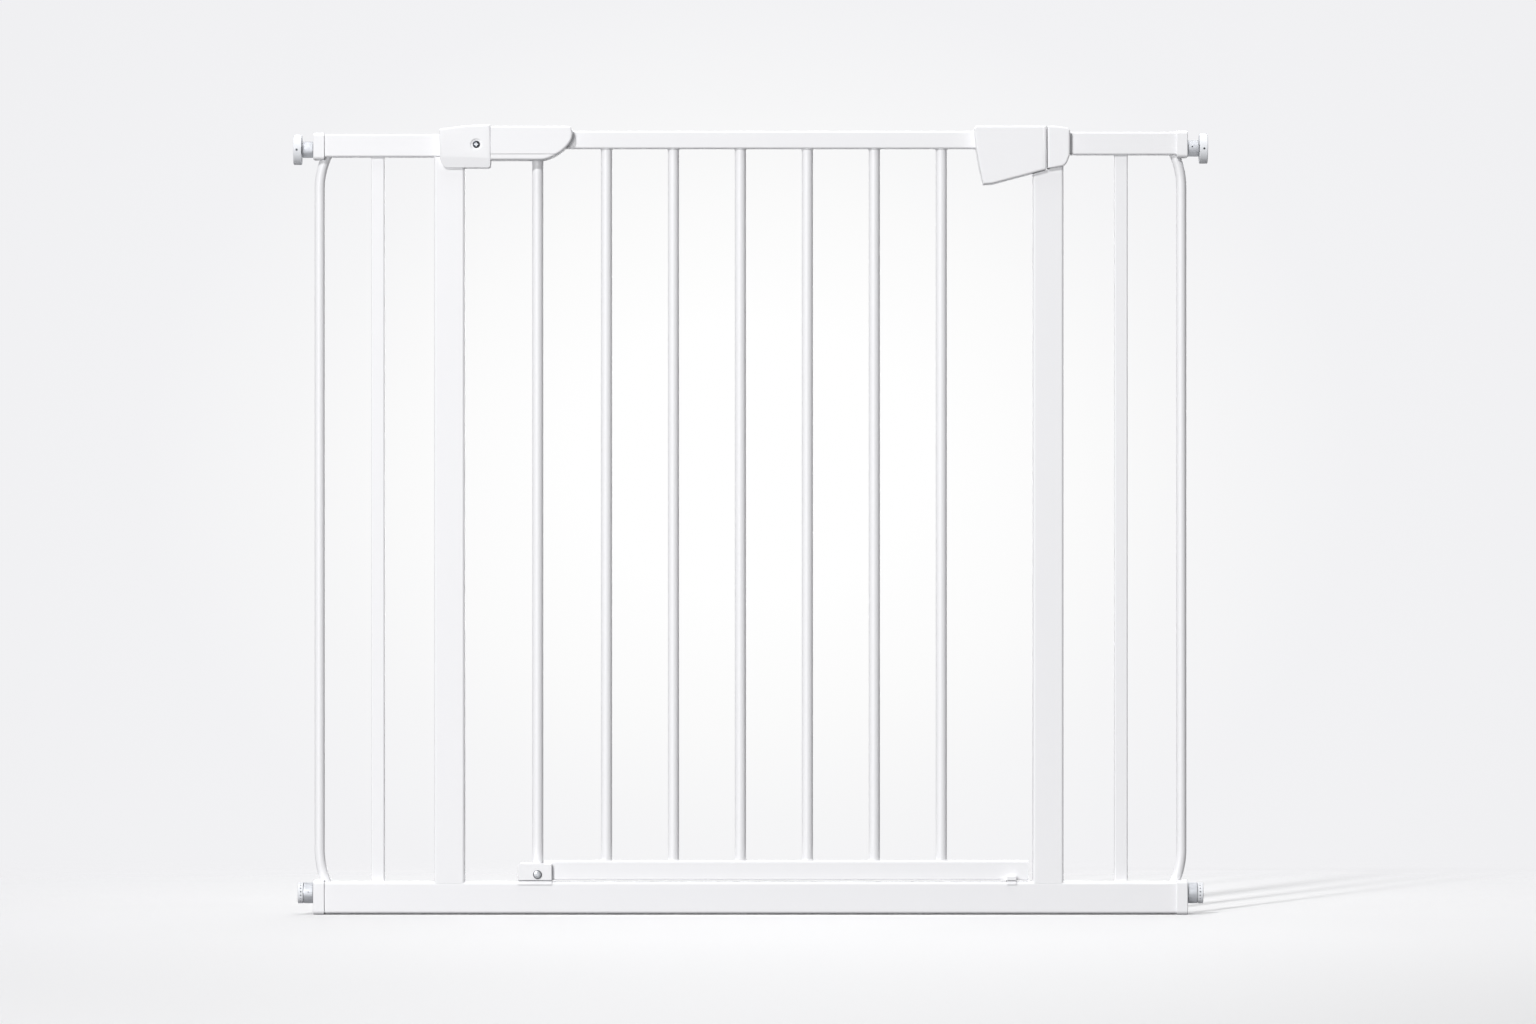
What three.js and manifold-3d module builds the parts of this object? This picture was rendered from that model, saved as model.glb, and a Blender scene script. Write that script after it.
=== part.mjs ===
// A pressure-fit pet gate: a U-shaped tube frame held between two walls by four screw adjusters,
// and a leaf that lifts off its catch and swings both ways on its hinge bar.
//
// Millimetres, +Z up. The gate stands on z = 0, is as wide as its wall pads along X and is seen
// from the front along +Y. The origin is on the floor, midway between the pads.

import * as THREE from 'three';
import { mergeVertices } from 'three/addons/utils/BufferGeometryUtils.js';
import Module from 'manifold-3d';

const wasm = await Module();
wasm.setup();

// ---- Clearances ----
const fit = 0.3; // between separate pieces that seat on or in each other
const running = 0.25; // all round a turning or sliding shaft
const shellGap = 0.3; // between the front and the rear half of a moulding

// ---- Outer frame ----
const frameHalf = 427; // centre of the gate to the end of the bottom rail
const bottomRailHeight = 30.8;
const bottomRailDepth = 25;
const bottomRailCorner = 2.5;
const footHeight = 1.2; // the rail hangs this far above the floor, on its end caps
const tubeWall = 1.2;
const postWidth = 30;
const hingePostX = -296;
const latchPostX = 292.65;
const topRailHeight = 22.5;
const topRailDepth = 20;
const topRailCorner = 2;
const rightTopRailZ = 747; // underside of the side rail beside the latch post
const leftTopRailDrop = 2.2; // the side rail over the hinge post hangs this much lower
const sideBarWidth = 13;
const sideBarCorner = 1.5;
const sideBarWall = 1;
const leftSideBarInset = 60.5; // end of the rails to the middle of the bar
const rightSideBarInset = 62.5;
const outerBarDiameter = 10;
const outerBarInset = 3; // end of the rails to the middle of the bar
const outerBarBendRadius = 80;
const outerBarLean = 6.5; // how far each end is bent in

// ---- End caps and wall adjusters ----
const capLength = 10.9;
const capEndWall = 2.6;
const capWall = 1.5;
const capPlugLength = 20;
const capOverTop = 2; // bottom caps, above the rail
const topCapUnder = 2.8; // top caps, below the rail
const topCapOver = 1.3;
const spindleDiameter = 8;
const spindleLength = 78;
const leftSpindleRise = 7.5; // above the rail's underside
const rightSpindleRise = 6.6;
const bottomSpindleRise = 19.8;
const topNutDiameter = 16;
const topNutWidth = 11;
const bottomNutDiameter = 20.5;
const bottomNutWidth = 9.6;
const nutEase = 0.8;
const topPadDiameter = 29.8;
const topPadThickness = 8.1;
const topPadDish = 1.6;
const bottomPadDiameter = 20.5;
const bottomPadThickness = 5.3;
const bottomPadDish = 0.6;
const padRim = 1.4;
const padEase = 0.9;
const padSocketDepth = 3.4;

// ---- Leaf ----
const hingeOffset = 71.6; // hinge post to the hinge axis
const saddleThickness = 1;
const leafRunningGap = 0.4; // leaf over the saddles on the bottom rail
const leafBottomRailHeight = 19.1;
const leafTopRailRise = 6.1; // above the underside of the side rail
const leafTopRailHeight = 17.4;
const leafRailDepth = 15;
const leafRailCorner = 2;
const leafWall = 1;
const barDiameter = 11;
const barWall = 1.2;
const barCount = 6;
const firstBarOffset = 67.7; // hinge axis to the first bar
const lastBarOffset = 31.3; // last bar to the handle
const leafPostGap = 4.4; // end of the bottom rail to the latch post
const leafPlugHead = 1.5;
const leafPlugLength = 14;
const leafRailInHandle = 26.9;

// ---- Upper hinge ----
const mouldingHalfDepth = 18;
const mouldingWall = 2.5;
const mouldingBevel = 2.4;
const coverRadius = 49; // round end of the cover, about the hinge axis
const coverGap = 0.4;
const coverReach = 34.4; // hinge axis to the far end of the cover
const coverDrop = 3; // underside of the arm, which carries on the cover's outline, below the rail
const coverHeight = 33.2;
const coverSweepStart = 4.4; // where the underside starts to sweep up, from the axis
const coverSweepHeight = 24.2;
const coverCorner = 4.5;
const armThickness = 5.5;
const armTongueHalf = 12;
const armPlugLength = 18;
const armBlockUnder = 4.5; // below the arm's plate
const armBlockOver = 3.3; // above the rail
const housingInset = 5.1; // left side of the hinge post to the housing
const housingSkirt = 10.5; // below the rail
const housingOverRail = 4.5;
const housingOverCover = 1.4;
const housingArch = 21;
const housingLip = 3; // level part of the top, past the cover's round end
const housingCorner = 9;
const housingLean = 0.9;
const housingScrewOffset = 11.6; // from the post
const housingScrewRise = 12.2; // above the rail's underside
const housingScrewHead = 7.1;
const housingScrewHeadHeight = 1.1;
const housingScrewRecess = 11.3;
const housingScrewRecessDepth = 1.2;
const housingScrewLength = 16;
const screwShank = 3.6;
const bushWall = 1.4;
const collarWall = 1.8;
const collarFlange = 20;
const collarFlangeHeight = 2;
const springWire = 1.6;
const springTurns = 4;
const springSeat = 0.4; // outside of the spring to the edge of the flange
const hingeBlockHeight = 6.5;
const hingeBlockHalfDepth = 9;
const hingeBlockBack = 12.6; // block behind the axis
const hingeBlockFront = 13.1;
const hingeBlockPlug = 18;
const hingeBlockDrop = 1.9; // block under the cover's top wall
const hingeBarDrop = 0.4; // bar below the block's top

// ---- Lower hinge and lower catch ----
const lowerCapLeft = 19.2; // left of the axis
const lowerCapRight = 14.1;
const lowerCapHeight = 16.7;
const lowerCapCorner = 2.5;
const lowerCapSlope = 1;
const lowerCapBevel = 0.8;
const saddleSkirt = 2.4; // how far a saddle reaches down the rail
const lowerScrewRise = 5.9;
const lowerScrewHead = 8.5;
const lowerScrewHeadHeight = 1.9;
const pinDiameter = 8;
const pinLength = 30;
const pinEase = 1;
const pinFlange = 14;
const pinFlangeHeight = 0.9;
const catchInset = 16.55; // end of the leaf to the middle of the catch
const catchWidth = 9.4;
const catchHeight = 3.9;
const hookLength = 6;
const hookDepth = 2;
const hookDrop = 1.6; // hook below the catch's top

// ---- Latch handle and strike ----
const latchOverRail = 5.7; // top of the handle and strike above the side rail
const strikeReveal = 14.15; // left side of the latch post to the strike
const strikeCheek = 6.25; // strike beside the right side of the post
const strikeHeight = 41.8;
const strikeLean = 0.6;
const strikeChin = 6.4;
const strikeChinRise = 5;
const strikeShoulder = 4.5;
const strikeShoulderDrop = 3.4;
const strikeCrown = 8.5;
const strikeWall = 2; // the wall that the bolt passes through
const handleGap = 1.6; // handle to strike
const handleWidth = 71.1;
const handleHeight = 57.3;
const handleRise = 14.4; // how far the underside climbs to the right
const handleToe = 18.4; // left edge to the end of the nearly level part of the underside
const handleToeRise = 0.4;
const handleToeLeft = 9.6;
const handleToeCut = 1.3;
const handleKnee = 6.2;
const handleKneeRise = 14.9;
const handleWaist = 2.6;
const handleCorner = 3;
const handleLean = 1.3;
const hollowBevel = 0.5;
const postTopGap = 0.7; // latch post under the slanted handle
const boltWidth = 8;
const boltDrop = 23.2; // underside of the bolt below the handle's top
const boltLength = 35;
const boltPast = 0.8; // how far the nose stands past the handle
const mouthBelow = 2.5; // strike's mouth round the bolt
const mouthAbove = 3;
const mouthSide = 2;
const buttonInset = 22.2; // middle of the button to the handle's right side
const buttonLength = 19.4;
const buttonDepth = 14;
const buttonProud = 0.4;
const buttonFlange = 1.5;
const buttonFlangeHeight = 2.6;
const camThickness = 3.5;
const camDepth = 4;
const camLength = 21;
const camLead = 5; // middle of the button to the top of the cam blade
const buttonSpringMean = 3.2;
const buttonSpringWire = 1;
const buttonSpringTurns = 5;
const buttonSpringOffset = 9.5; // behind the middle of the button
const shelfThickness = 2;
const shelfMargin = 3;
const latchScrewHead = 6.4;
const latchScrewHeadHeight = 1.6;
const latchScrewShank = 3;
const latchScrewRecess = 2;
const latchScrewBoss = 1; // wall of the boss round the recess
const handleScrewOffset = 32.9; // from the handle's left edge
const handleScrewRise = 17.1;
const strikeScrewOffset = 8; // from the strike's left edge
const strikeScrewRise = 7.6;
const screwBite = 1; // how far a screw's end stays from, or reaches past, a wall

// ---- Worked out from the sizes above ----
const bottomRailTop = footHeight + bottomRailHeight;
const capOuter = frameHalf + fit + capEndWall;
const capInner = capOuter - capLength;
const outerBarX = frameHalf - outerBarInset;
const leftSideBarX = leftSideBarInset - frameHalf;
const rightSideBarX = frameHalf - rightSideBarInset;
const leftTopRailZ = rightTopRailZ - leftTopRailDrop;
const leftTopRailTop = leftTopRailZ + topRailHeight;
const rightTopRailTop = rightTopRailZ + topRailHeight;
const hingePostLeft = hingePostX - postWidth / 2;
const hingePostRight = hingePostX + postWidth / 2;
const latchPostLeft = latchPostX - postWidth / 2;
const latchPostRight = latchPostX + postWidth / 2;
const saddleTop = bottomRailTop + fit + saddleThickness;
const saddleHalfDepth = bottomRailDepth / 2 + fit + saddleThickness;
const hingeX = hingePostRight + hingeOffset;
const leafBottom = saddleTop + leafRunningGap;
const leafBottomRailTop = leafBottom + leafBottomRailHeight;
const leafTopRailZ = rightTopRailZ + leafTopRailRise;
const leafTop = leafTopRailZ + leafTopRailHeight;
const leafEnd = latchPostLeft - leafPostGap;
const barRadius = barDiameter / 2;
const coverUnderside = leftTopRailZ - coverDrop;
const coverTop = coverUnderside + coverHeight;
const armTop = coverUnderside + armThickness;
const coverBottom = armTop + coverGap;
const collarOuter = barRadius + running + collarWall;
const bushInner = collarOuter + running;
const bushOuter = bushInner + bushWall;
const armBore = bushOuter + running;
const latchTop = rightTopRailTop + latchOverRail;
const latchHalfDepth = mouldingHalfDepth;
const strikeLeft = latchPostLeft + strikeReveal;
const strikeRight = latchPostRight + strikeCheek;
const strikeUnderside = latchTop - strikeHeight;
const handleRight = strikeLeft - handleGap;
const handleLeft = handleRight - handleWidth;
const handleUnderside = latchTop - handleHeight;
const leafTopRailEnd = handleLeft + leafRailInHandle;
const barPitch = (handleLeft - lastBarOffset - hingeX - firstBarOffset) / (barCount - 1);
const boltBottom = latchTop - boltDrop;
const boltTop = boltBottom + boltWidth;
const boltEnd = handleRight + boltPast;
const buttonX = handleRight - buttonInset;
const buttonTop = latchTop + buttonProud;

// ---- Materials ----
const paint = { color: 0xf3f4f6, roughness: 0.42, metalness: 0 };
const plastic = { color: 0xf5f5f7, roughness: 0.5, metalness: 0 };
const zinc = { color: 0xa9adb2, roughness: 0.35, metalness: 1 };
const blackSteel = { color: 0x4a4c50, roughness: 0.4, metalness: 1 };
const springSteel = { color: 0x8d9196, roughness: 0.3, metalness: 1 };
const acetal = { color: 0xe4e5e6, roughness: 0.6, metalness: 0 };
const rubber = { color: 0xececee, roughness: 0.8, metalness: 0 };

const gate = new THREE.Group();

// ---- From geometry to solids and back ----

/** A closed three.js geometry as a solid that can be joined and cut. */
function solid(geometry) {
  const bare = geometry.clone();
  bare.deleteAttribute('normal');
  bare.deleteAttribute('uv');
  const merged = mergeVertices(bare, 1e-4);
  return new wasm.Manifold(new wasm.Mesh({
    numProp: 3,
    vertProperties: new Float32Array(merged.attributes.position.array),
    triVerts: new Uint32Array(merged.index.array),
  }));
}

/** Adds one named piece to the gate. */
function piece(name, body, look) {
  const { vertProperties, triVerts } = body.getMesh();
  const geometry = new THREE.BufferGeometry();
  geometry.setAttribute('position', new THREE.BufferAttribute(Float32Array.from(vertProperties), 3));
  geometry.setIndex(new THREE.BufferAttribute(Uint32Array.from(triVerts), 1));
  geometry.computeVertexNormals();
  const mesh = new THREE.Mesh(geometry, new THREE.MeshStandardMaterial(look));
  mesh.name = name;
  gate.add(mesh);
}

/** A plain box between two corners. */
function box(x0, y0, z0, x1, y1, z1) {
  const geometry = new THREE.BoxGeometry(x1 - x0, y1 - y0, z1 - z0);
  geometry.translate((x0 + x1) / 2, (y0 + y1) / 2, (z0 + z1) / 2);
  return solid(geometry);
}

/** An upright round body about (x, y). */
function roundZ(x, y, z0, z1, radius, sides = 24) {
  const geometry = new THREE.CylinderGeometry(radius, radius, z1 - z0, sides);
  geometry.rotateX(Math.PI / 2);
  geometry.translate(x, y, (z0 + z1) / 2);
  return solid(geometry);
}

/** A round body that lies along Y. */
function roundY(x, z, y0, y1, radius, sides = 16) {
  const geometry = new THREE.CylinderGeometry(radius, radius, y1 - y0, sides);
  geometry.translate(x, (y0 + y1) / 2, z);
  return solid(geometry);
}

/** A round body that lies along X. */
function roundX(y, z, x0, x1, radius, sides = 24) {
  const geometry = new THREE.CylinderGeometry(radius, radius, Math.abs(x1 - x0), sides);
  geometry.rotateZ(Math.PI / 2);
  geometry.translate((x0 + x1) / 2, y, z);
  return solid(geometry);
}

function roundedRect(width, height, radius) {
  const shape = new THREE.Shape();
  const x = width / 2 - radius;
  const y = height / 2 - radius;
  shape.absarc(x, y, radius, 0, Math.PI / 2);
  shape.absarc(-x, y, radius, Math.PI / 2, Math.PI);
  shape.absarc(-x, -y, radius, Math.PI, Math.PI * 1.5);
  shape.absarc(x, -y, radius, Math.PI * 1.5, Math.PI * 2);
  return shape;
}

function circle(radius) {
  const shape = new THREE.Shape();
  shape.absarc(0, 0, radius, 0, Math.PI * 2);
  return shape;
}

/** A rectangular tube's section: width by height, rounded outside, square inside. */
function tubeSection(width, height, radius, wall) {
  const shape = roundedRect(width, height, radius);
  const x = width / 2 - wall;
  const y = height / 2 - wall;
  shape.holes.push(new THREE.Path([
    new THREE.Vector2(-x, -y),
    new THREE.Vector2(-x, y),
    new THREE.Vector2(x, y),
    new THREE.Vector2(x, -y),
  ]));
  return shape;
}

function ringSection(radius, wall) {
  const shape = circle(radius);
  shape.holes.push(circle(radius - wall));
  return shape;
}

/** Extrudes a section given as (height, depth) along X, centred on z. */
function alongX(section, x0, x1, z, curveSegments = 2) {
  const geometry = new THREE.ExtrudeGeometry(section, { depth: x1 - x0, bevelEnabled: false, curveSegments });
  geometry.rotateY(Math.PI / 2);
  geometry.translate(x0, 0, z);
  return solid(geometry);
}

/** Extrudes a section given as (width, depth) upwards. */
function alongZ(section, x, z0, z1, curveSegments = 2) {
  const geometry = new THREE.ExtrudeGeometry(section, { depth: z1 - z0, bevelEnabled: false, curveSegments });
  geometry.translate(x, 0, z0);
  return solid(geometry);
}

/** A moulding seen from the front: an (x, z) outline with eased edges, set in by inset all round. */
function moulding(outline, halfDepth, bevel, inset = 0, curveSegments = 8) {
  const geometry = new THREE.ExtrudeGeometry(outline, {
    depth: 2 * (halfDepth - bevel),
    bevelThickness: bevel,
    bevelSize: bevel,
    bevelOffset: -bevel - inset,
    bevelSegments: 2,
    curveSegments,
  });
  geometry.rotateX(Math.PI / 2);
  geometry.translate(0, halfDepth - bevel, 0);
  return solid(geometry);
}

/** Turns a profile of (radius, height) points about Z. */
function turnedZ(points, x, y, z, sides = 24) {
  const loop = points.map(([r, h]) => new THREE.Vector2(r, h));
  loop.push(loop[0].clone());
  const geometry = new THREE.LatheGeometry(loop, sides);
  geometry.rotateX(Math.PI / 2);
  geometry.translate(x, y, z);
  return outward(solid(geometry), geometry);
}

/** A lathe loop drawn the other way round comes out inside out, so its triangles are turned. */
function outward(body, geometry) {
  if (body.volume() > 0) return body;
  const index = geometry.index.array;
  for (let i = 0; i < index.length; i += 3) [index[i + 1], index[i + 2]] = [index[i + 2], index[i + 1]];
  return solid(geometry);
}

/** Turns a profile of (radius, distance) points about X, outwards on the given side. */
function turnedX(points, side, x, z, sides = 24) {
  const loop = points.map(([r, h]) => new THREE.Vector2(r, h));
  loop.push(loop[0].clone());
  const geometry = new THREE.LatheGeometry(loop, sides);
  geometry.rotateZ(-side * Math.PI / 2);
  geometry.translate(x, 0, z);
  return outward(solid(geometry), geometry);
}

/** The two halves of a moulding, parted at y = 0. */
function halves(body) {
  const reach = 1000;
  const front = body.intersect(box(-reach, -reach, 0, reach, -shellGap / 2, reach));
  const rear = body.intersect(box(-reach, shellGap / 2, 0, reach, reach, reach));
  return [front, rear];
}

/** A round-wire coil spring that stands upright about (x, y). */
function coil(x, y, z0, z1, meanRadius, wire, turns) {
  const rise = z1 - z0 - wire;
  class Helix extends THREE.Curve {
    getPoint(t, target = new THREE.Vector3()) {
      const angle = t * turns * Math.PI * 2;
      return target.set(
        x + meanRadius * Math.cos(angle),
        y + meanRadius * Math.sin(angle),
        z0 + wire / 2 + rise * t,
      );
    }
  }
  const stepsPerTurn = 10;
  const geometry = new THREE.ExtrudeGeometry(circle(wire / 2), {
    steps: turns * stepsPerTurn,
    extrudePath: new Helix(),
    bevelEnabled: false,
    curveSegments: 3,
  });
  return solid(geometry);
}

// ---- Frame tubes ----

const railSection = tubeSection(bottomRailHeight, bottomRailDepth, bottomRailCorner, tubeWall);
const bottomRailMid = footHeight + bottomRailHeight / 2;
piece('bottom_rail', alongX(railSection, -frameHalf, frameHalf, bottomRailMid), paint);

/** The bottom rail's outside with a clearance all round, to cope or saddle other pieces over it. */
function bottomRailSpace(clearance) {
  const section = roundedRect(
    bottomRailHeight + 2 * clearance,
    bottomRailDepth + 2 * clearance,
    bottomRailCorner + clearance,
  );
  return alongX(section, -frameHalf, frameHalf, bottomRailMid);
}

/** A post's tube, coped over the round corners of the bottom rail. */
function post(x, top) {
  const section = tubeSection(postWidth, bottomRailDepth, bottomRailCorner, tubeWall);
  return alongZ(section, x, bottomRailTop - bottomRailCorner, top).subtract(bottomRailSpace(fit));
}

piece('hinge_post', post(hingePostX, leftTopRailZ), paint);

// The handle sweeps over the latch post, so the post is cut back to a slope under the handle and
// carries on upwards only inside the strike, as an open channel behind the strike's wall.
const slope = (handleRise - handleToeRise) / (handleRight - handleLeft - handleToe);
const sweepRight = strikeLeft + strikeWall + fit;
const sweepStart = handleLeft + handleToe;
const sweepStartZ = handleUnderside + handleToeRise - postTopGap;
const sweepCut = new THREE.Shape([
  new THREE.Vector2(sweepStart, sweepStartZ),
  new THREE.Vector2(sweepRight, sweepStartZ + slope * (sweepRight - sweepStart)),
  new THREE.Vector2(sweepRight, latchTop + fit),
  new THREE.Vector2(sweepStart, latchTop + fit),
]);
const handleSweep = new THREE.ExtrudeGeometry(sweepCut, { depth: 2 * latchHalfDepth, bevelEnabled: false });
handleSweep.rotateX(Math.PI / 2);
handleSweep.translate(0, latchHalfDepth, 0);
const strikeScrewX = strikeLeft + strikeScrewOffset;
const strikeScrewZ = strikeUnderside + strikeScrewRise;
const strikeScrewHole = roundY(
  strikeScrewX, strikeScrewZ, 0, latchHalfDepth, latchScrewShank / 2 + running,
);
piece(
  'latch_post',
  post(latchPostX, rightTopRailTop).subtract(solid(handleSweep)).subtract(strikeScrewHole),
  paint,
);

const topRailSection = tubeSection(topRailHeight, topRailDepth, topRailCorner, tubeWall);
const leftTopRailMid = leftTopRailZ + topRailHeight / 2;
const rightTopRailMid = rightTopRailZ + topRailHeight / 2;
piece('left_top_rail', alongX(topRailSection, -frameHalf, hingePostRight, leftTopRailMid), paint);
piece('right_top_rail', alongX(topRailSection, latchPostRight, frameHalf, rightTopRailMid), paint);

const sideBarSection = tubeSection(sideBarWidth, sideBarWidth, sideBarCorner, sideBarWall);
piece('left_side_bar', alongZ(sideBarSection, leftSideBarX, bottomRailTop, leftTopRailZ, 1), paint);
piece('right_side_bar', alongZ(sideBarSection, rightSideBarX, bottomRailTop, rightTopRailZ, 1), paint);

/** The path of an outer bar: upright, with both ends bent in towards the gate and cut on the rails. */
class OuterBarPath extends THREE.Curve {
  constructor(side, bottom, top) {
    super();
    Object.assign(this, { side, bottom, top });
  }

  getPoint(t, target = new THREE.Vector3()) {
    const overshoot = 0.05;
    const lean = Math.acos(1 - outerBarLean / outerBarBendRadius);
    const bendHeight = outerBarBendRadius * Math.sin(lean);
    const station = t * (2 * OuterBarPath.bendSteps + 1);
    const fromBottom = Math.max(0, 1 - station / OuterBarPath.bendSteps);
    const fromTop = Math.max(0, station / OuterBarPath.bendSteps - 1 - 1 / OuterBarPath.bendSteps);
    const angle = (lean + overshoot) * Math.max(fromBottom, fromTop);
    const x = outerBarX - outerBarBendRadius * (1 - Math.cos(angle));
    const drop = outerBarBendRadius * Math.sin(angle);
    const straightPart = THREE.MathUtils.clamp(station - OuterBarPath.bendSteps, 0, 1);
    const low = this.bottom + bendHeight;
    const high = this.top - bendHeight;
    const onStraight = THREE.MathUtils.lerp(low, high, straightPart);
    const z = onStraight + (fromTop > 0 ? drop : -drop);
    return target.set(this.side * x, 0, z);
  }

  getPointAt(u, target) {
    return this.getPoint(u, target);
  }

  getTangentAt(u, target) {
    return this.getTangent(u, target);
  }
}
OuterBarPath.bendSteps = 3;

function outerBar(side, top, section) {
  const geometry = new THREE.ExtrudeGeometry(section, {
    steps: 2 * OuterBarPath.bendSteps + 1,
    extrudePath: new OuterBarPath(side, bottomRailTop, top),
    bevelEnabled: false,
    curveSegments: 8,
  });
  return solid(geometry);
}

function outerBarBetweenRails(side, top) {
  const reach = frameHalf + outerBarDiameter;
  const between = box(-reach, -outerBarDiameter, bottomRailTop, reach, outerBarDiameter, top);
  return outerBar(side, top, ringSection(outerBarDiameter / 2, sideBarWall)).intersect(between);
}

piece('left_outer_bar', outerBarBetweenRails(-1, leftTopRailZ), paint);
piece('right_outer_bar', outerBarBetweenRails(1, rightTopRailZ), paint);

// ---- End caps ----

/** A cap over a rail's end, with a plug inside the tube, a spindle hole and a notch for the outer bar. */
function endCap(side, section, z0, z1, railMid, spindleZ, barTop) {
  const { height, depth, corner } = section;
  const halfDepth = depth / 2 + fit + capWall;
  const skin = roundedRect(z1 - z0, 2 * halfDepth, corner + capWall);
  const ends = side > 0 ? [capInner, capOuter] : [-capOuter, -capInner];
  const head = alongX(skin, ends[0], ends[1], (z0 + z1) / 2);
  const plugInner = frameHalf - capPlugLength;
  const plugOuter = capOuter - capEndWall / 2;
  const plugEnds = side > 0 ? [plugInner, plugOuter] : [-plugOuter, -plugInner];
  const inside = roundedRect(height - 2 * tubeWall - 2 * fit, depth - 2 * tubeWall - 2 * fit, fit);
  const plug = alongX(inside, plugEnds[0], plugEnds[1], railMid, 1);
  const around = roundedRect(height + 2 * fit, depth + 2 * fit, corner + fit);
  const railEnd = frameHalf + fit;
  const railEnds = side > 0 ? [0, railEnd] : [-railEnd, 0];
  const railSpace = alongX(around, railEnds[0], railEnds[1], railMid);
  const holeRadius = spindleDiameter / 2 + running;
  const hole = roundX(0, spindleZ, -side * fit, side * (capOuter + capLength), holeRadius);
  const barSpace = outerBar(side, barTop, circle(outerBarDiameter / 2 + fit));
  return head.subtract(railSpace).subtract(barSpace).add(plug).subtract(hole);
}

const topSection = { height: topRailHeight, depth: topRailDepth, corner: topRailCorner };
const bottomSection = { height: bottomRailHeight, depth: bottomRailDepth, corner: bottomRailCorner };
const adjusters = [
  { name: 'top_left', side: -1, top: true, railZ: leftTopRailZ, rise: leftSpindleRise },
  { name: 'top_right', side: 1, top: true, railZ: rightTopRailZ, rise: rightSpindleRise },
  { name: 'bottom_left', side: -1, top: false, railZ: footHeight, rise: bottomSpindleRise },
  { name: 'bottom_right', side: 1, top: false, railZ: footHeight, rise: bottomSpindleRise },
];

for (const { name, side, top, railZ, rise } of adjusters) {
  const section = top ? topSection : bottomSection;
  const barTop = side < 0 ? leftTopRailZ : rightTopRailZ;
  const z0 = top ? railZ - topCapUnder : 0;
  const z1 = railZ + section.height + (top ? topCapOver : capOverTop);
  const railMid = railZ + section.height / 2;
  piece(`${name}_cap`, endCap(side, section, z0, z1, railMid, railZ + rise, barTop), plastic);
}

// ---- Wall adjusters ----

/** A round nut with eased rims, bored for the spindle; distances run outwards from its inner face. */
function adjusterNut(side, z, diameter, width, inner) {
  const outer = diameter / 2;
  const bore = spindleDiameter / 2 + running;
  return turnedX([
    [bore, 0],
    [outer - nutEase, 0],
    [outer, nutEase],
    [outer, width - nutEase],
    [outer - nutEase, width],
    [bore, width],
  ], side, side * inner, z);
}

/** A wall pad with a dished back and a blind socket for the spindle. */
function wallPad(side, z, diameter, thickness, dish, inner) {
  const outer = diameter / 2;
  const socket = spindleDiameter / 2 + running;
  return turnedX([
    [0, padSocketDepth],
    [socket, padSocketDepth],
    [socket, dish],
    [outer * 0.55, dish],
    [outer - padRim, 0],
    [outer, 0],
    [outer, thickness - padEase],
    [outer - padEase, thickness],
    [0, thickness],
  ], side, side * inner, z, 28);
}

/** The threaded rod, from inside the rail to the bottom of the pad's socket. */
function spindle(side, z, outerEnd) {
  const ease = nutEase;
  const radius = spindleDiameter / 2;
  return turnedX([
    [0, 0],
    [radius, 0],
    [radius, spindleLength - ease],
    [radius - ease, spindleLength],
    [0, spindleLength],
  ].map(([r, h]) => [r, h - spindleLength]), side, side * outerEnd, z, 16);
}

for (const { name, side, top, railZ, rise } of adjusters) {
  const z = railZ + rise;
  const nutWidth = top ? topNutWidth : bottomNutWidth;
  const nutInner = capOuter + fit;
  const padInner = nutInner + nutWidth + fit;
  const nutDiameter = top ? topNutDiameter : bottomNutDiameter;
  const padDiameter = top ? topPadDiameter : bottomPadDiameter;
  const padThickness = top ? topPadThickness : bottomPadThickness;
  const dish = top ? topPadDish : bottomPadDish;
  piece(`${name}_nut`, adjusterNut(side, z, nutDiameter, nutWidth, nutInner), zinc);
  piece(`${name}_spindle`, spindle(side, z, padInner + padSocketDepth - fit), zinc);
  piece(`${name}_pad`, wallPad(side, z, padDiameter, padThickness, dish, padInner), rubber);
}

// ---- Upper hinge, fixed side ----

/** The outline that the arm and the cover share, seen from the front. */
function coverOutline() {
  const start = hingeX + coverSweepStart;
  const end = hingeX + coverReach;
  const middle = (start + end) / 2;
  const sweepTop = coverUnderside + coverSweepHeight;
  const left = hingeX - coverRadius;
  const shape = new THREE.Shape();
  shape.moveTo(left, coverUnderside);
  shape.lineTo(start, coverUnderside);
  shape.bezierCurveTo(
    middle, coverUnderside + 0.07 * coverSweepHeight, end, sweepTop - 0.35 * coverSweepHeight, end, sweepTop,
  );
  shape.bezierCurveTo(
    end, coverTop - 0.65 * coverCorner, end - 0.2 * coverCorner, coverTop, end - coverCorner, coverTop,
  );
  shape.lineTo(left, coverTop);
  return shape;
}

const everywhere = 2000;
const coverBody = moulding(coverOutline(), mouldingHalfDepth, mouldingBevel);
const coverRound = roundZ(hingeX, 0, 0, everywhere, coverRadius, 96);

function below(z) {
  return box(-everywhere, -everywhere, -1, everywhere, everywhere, z);
}

function above(z) {
  return box(-everywhere, -everywhere, z, everywhere, everywhere, everywhere);
}

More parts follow.
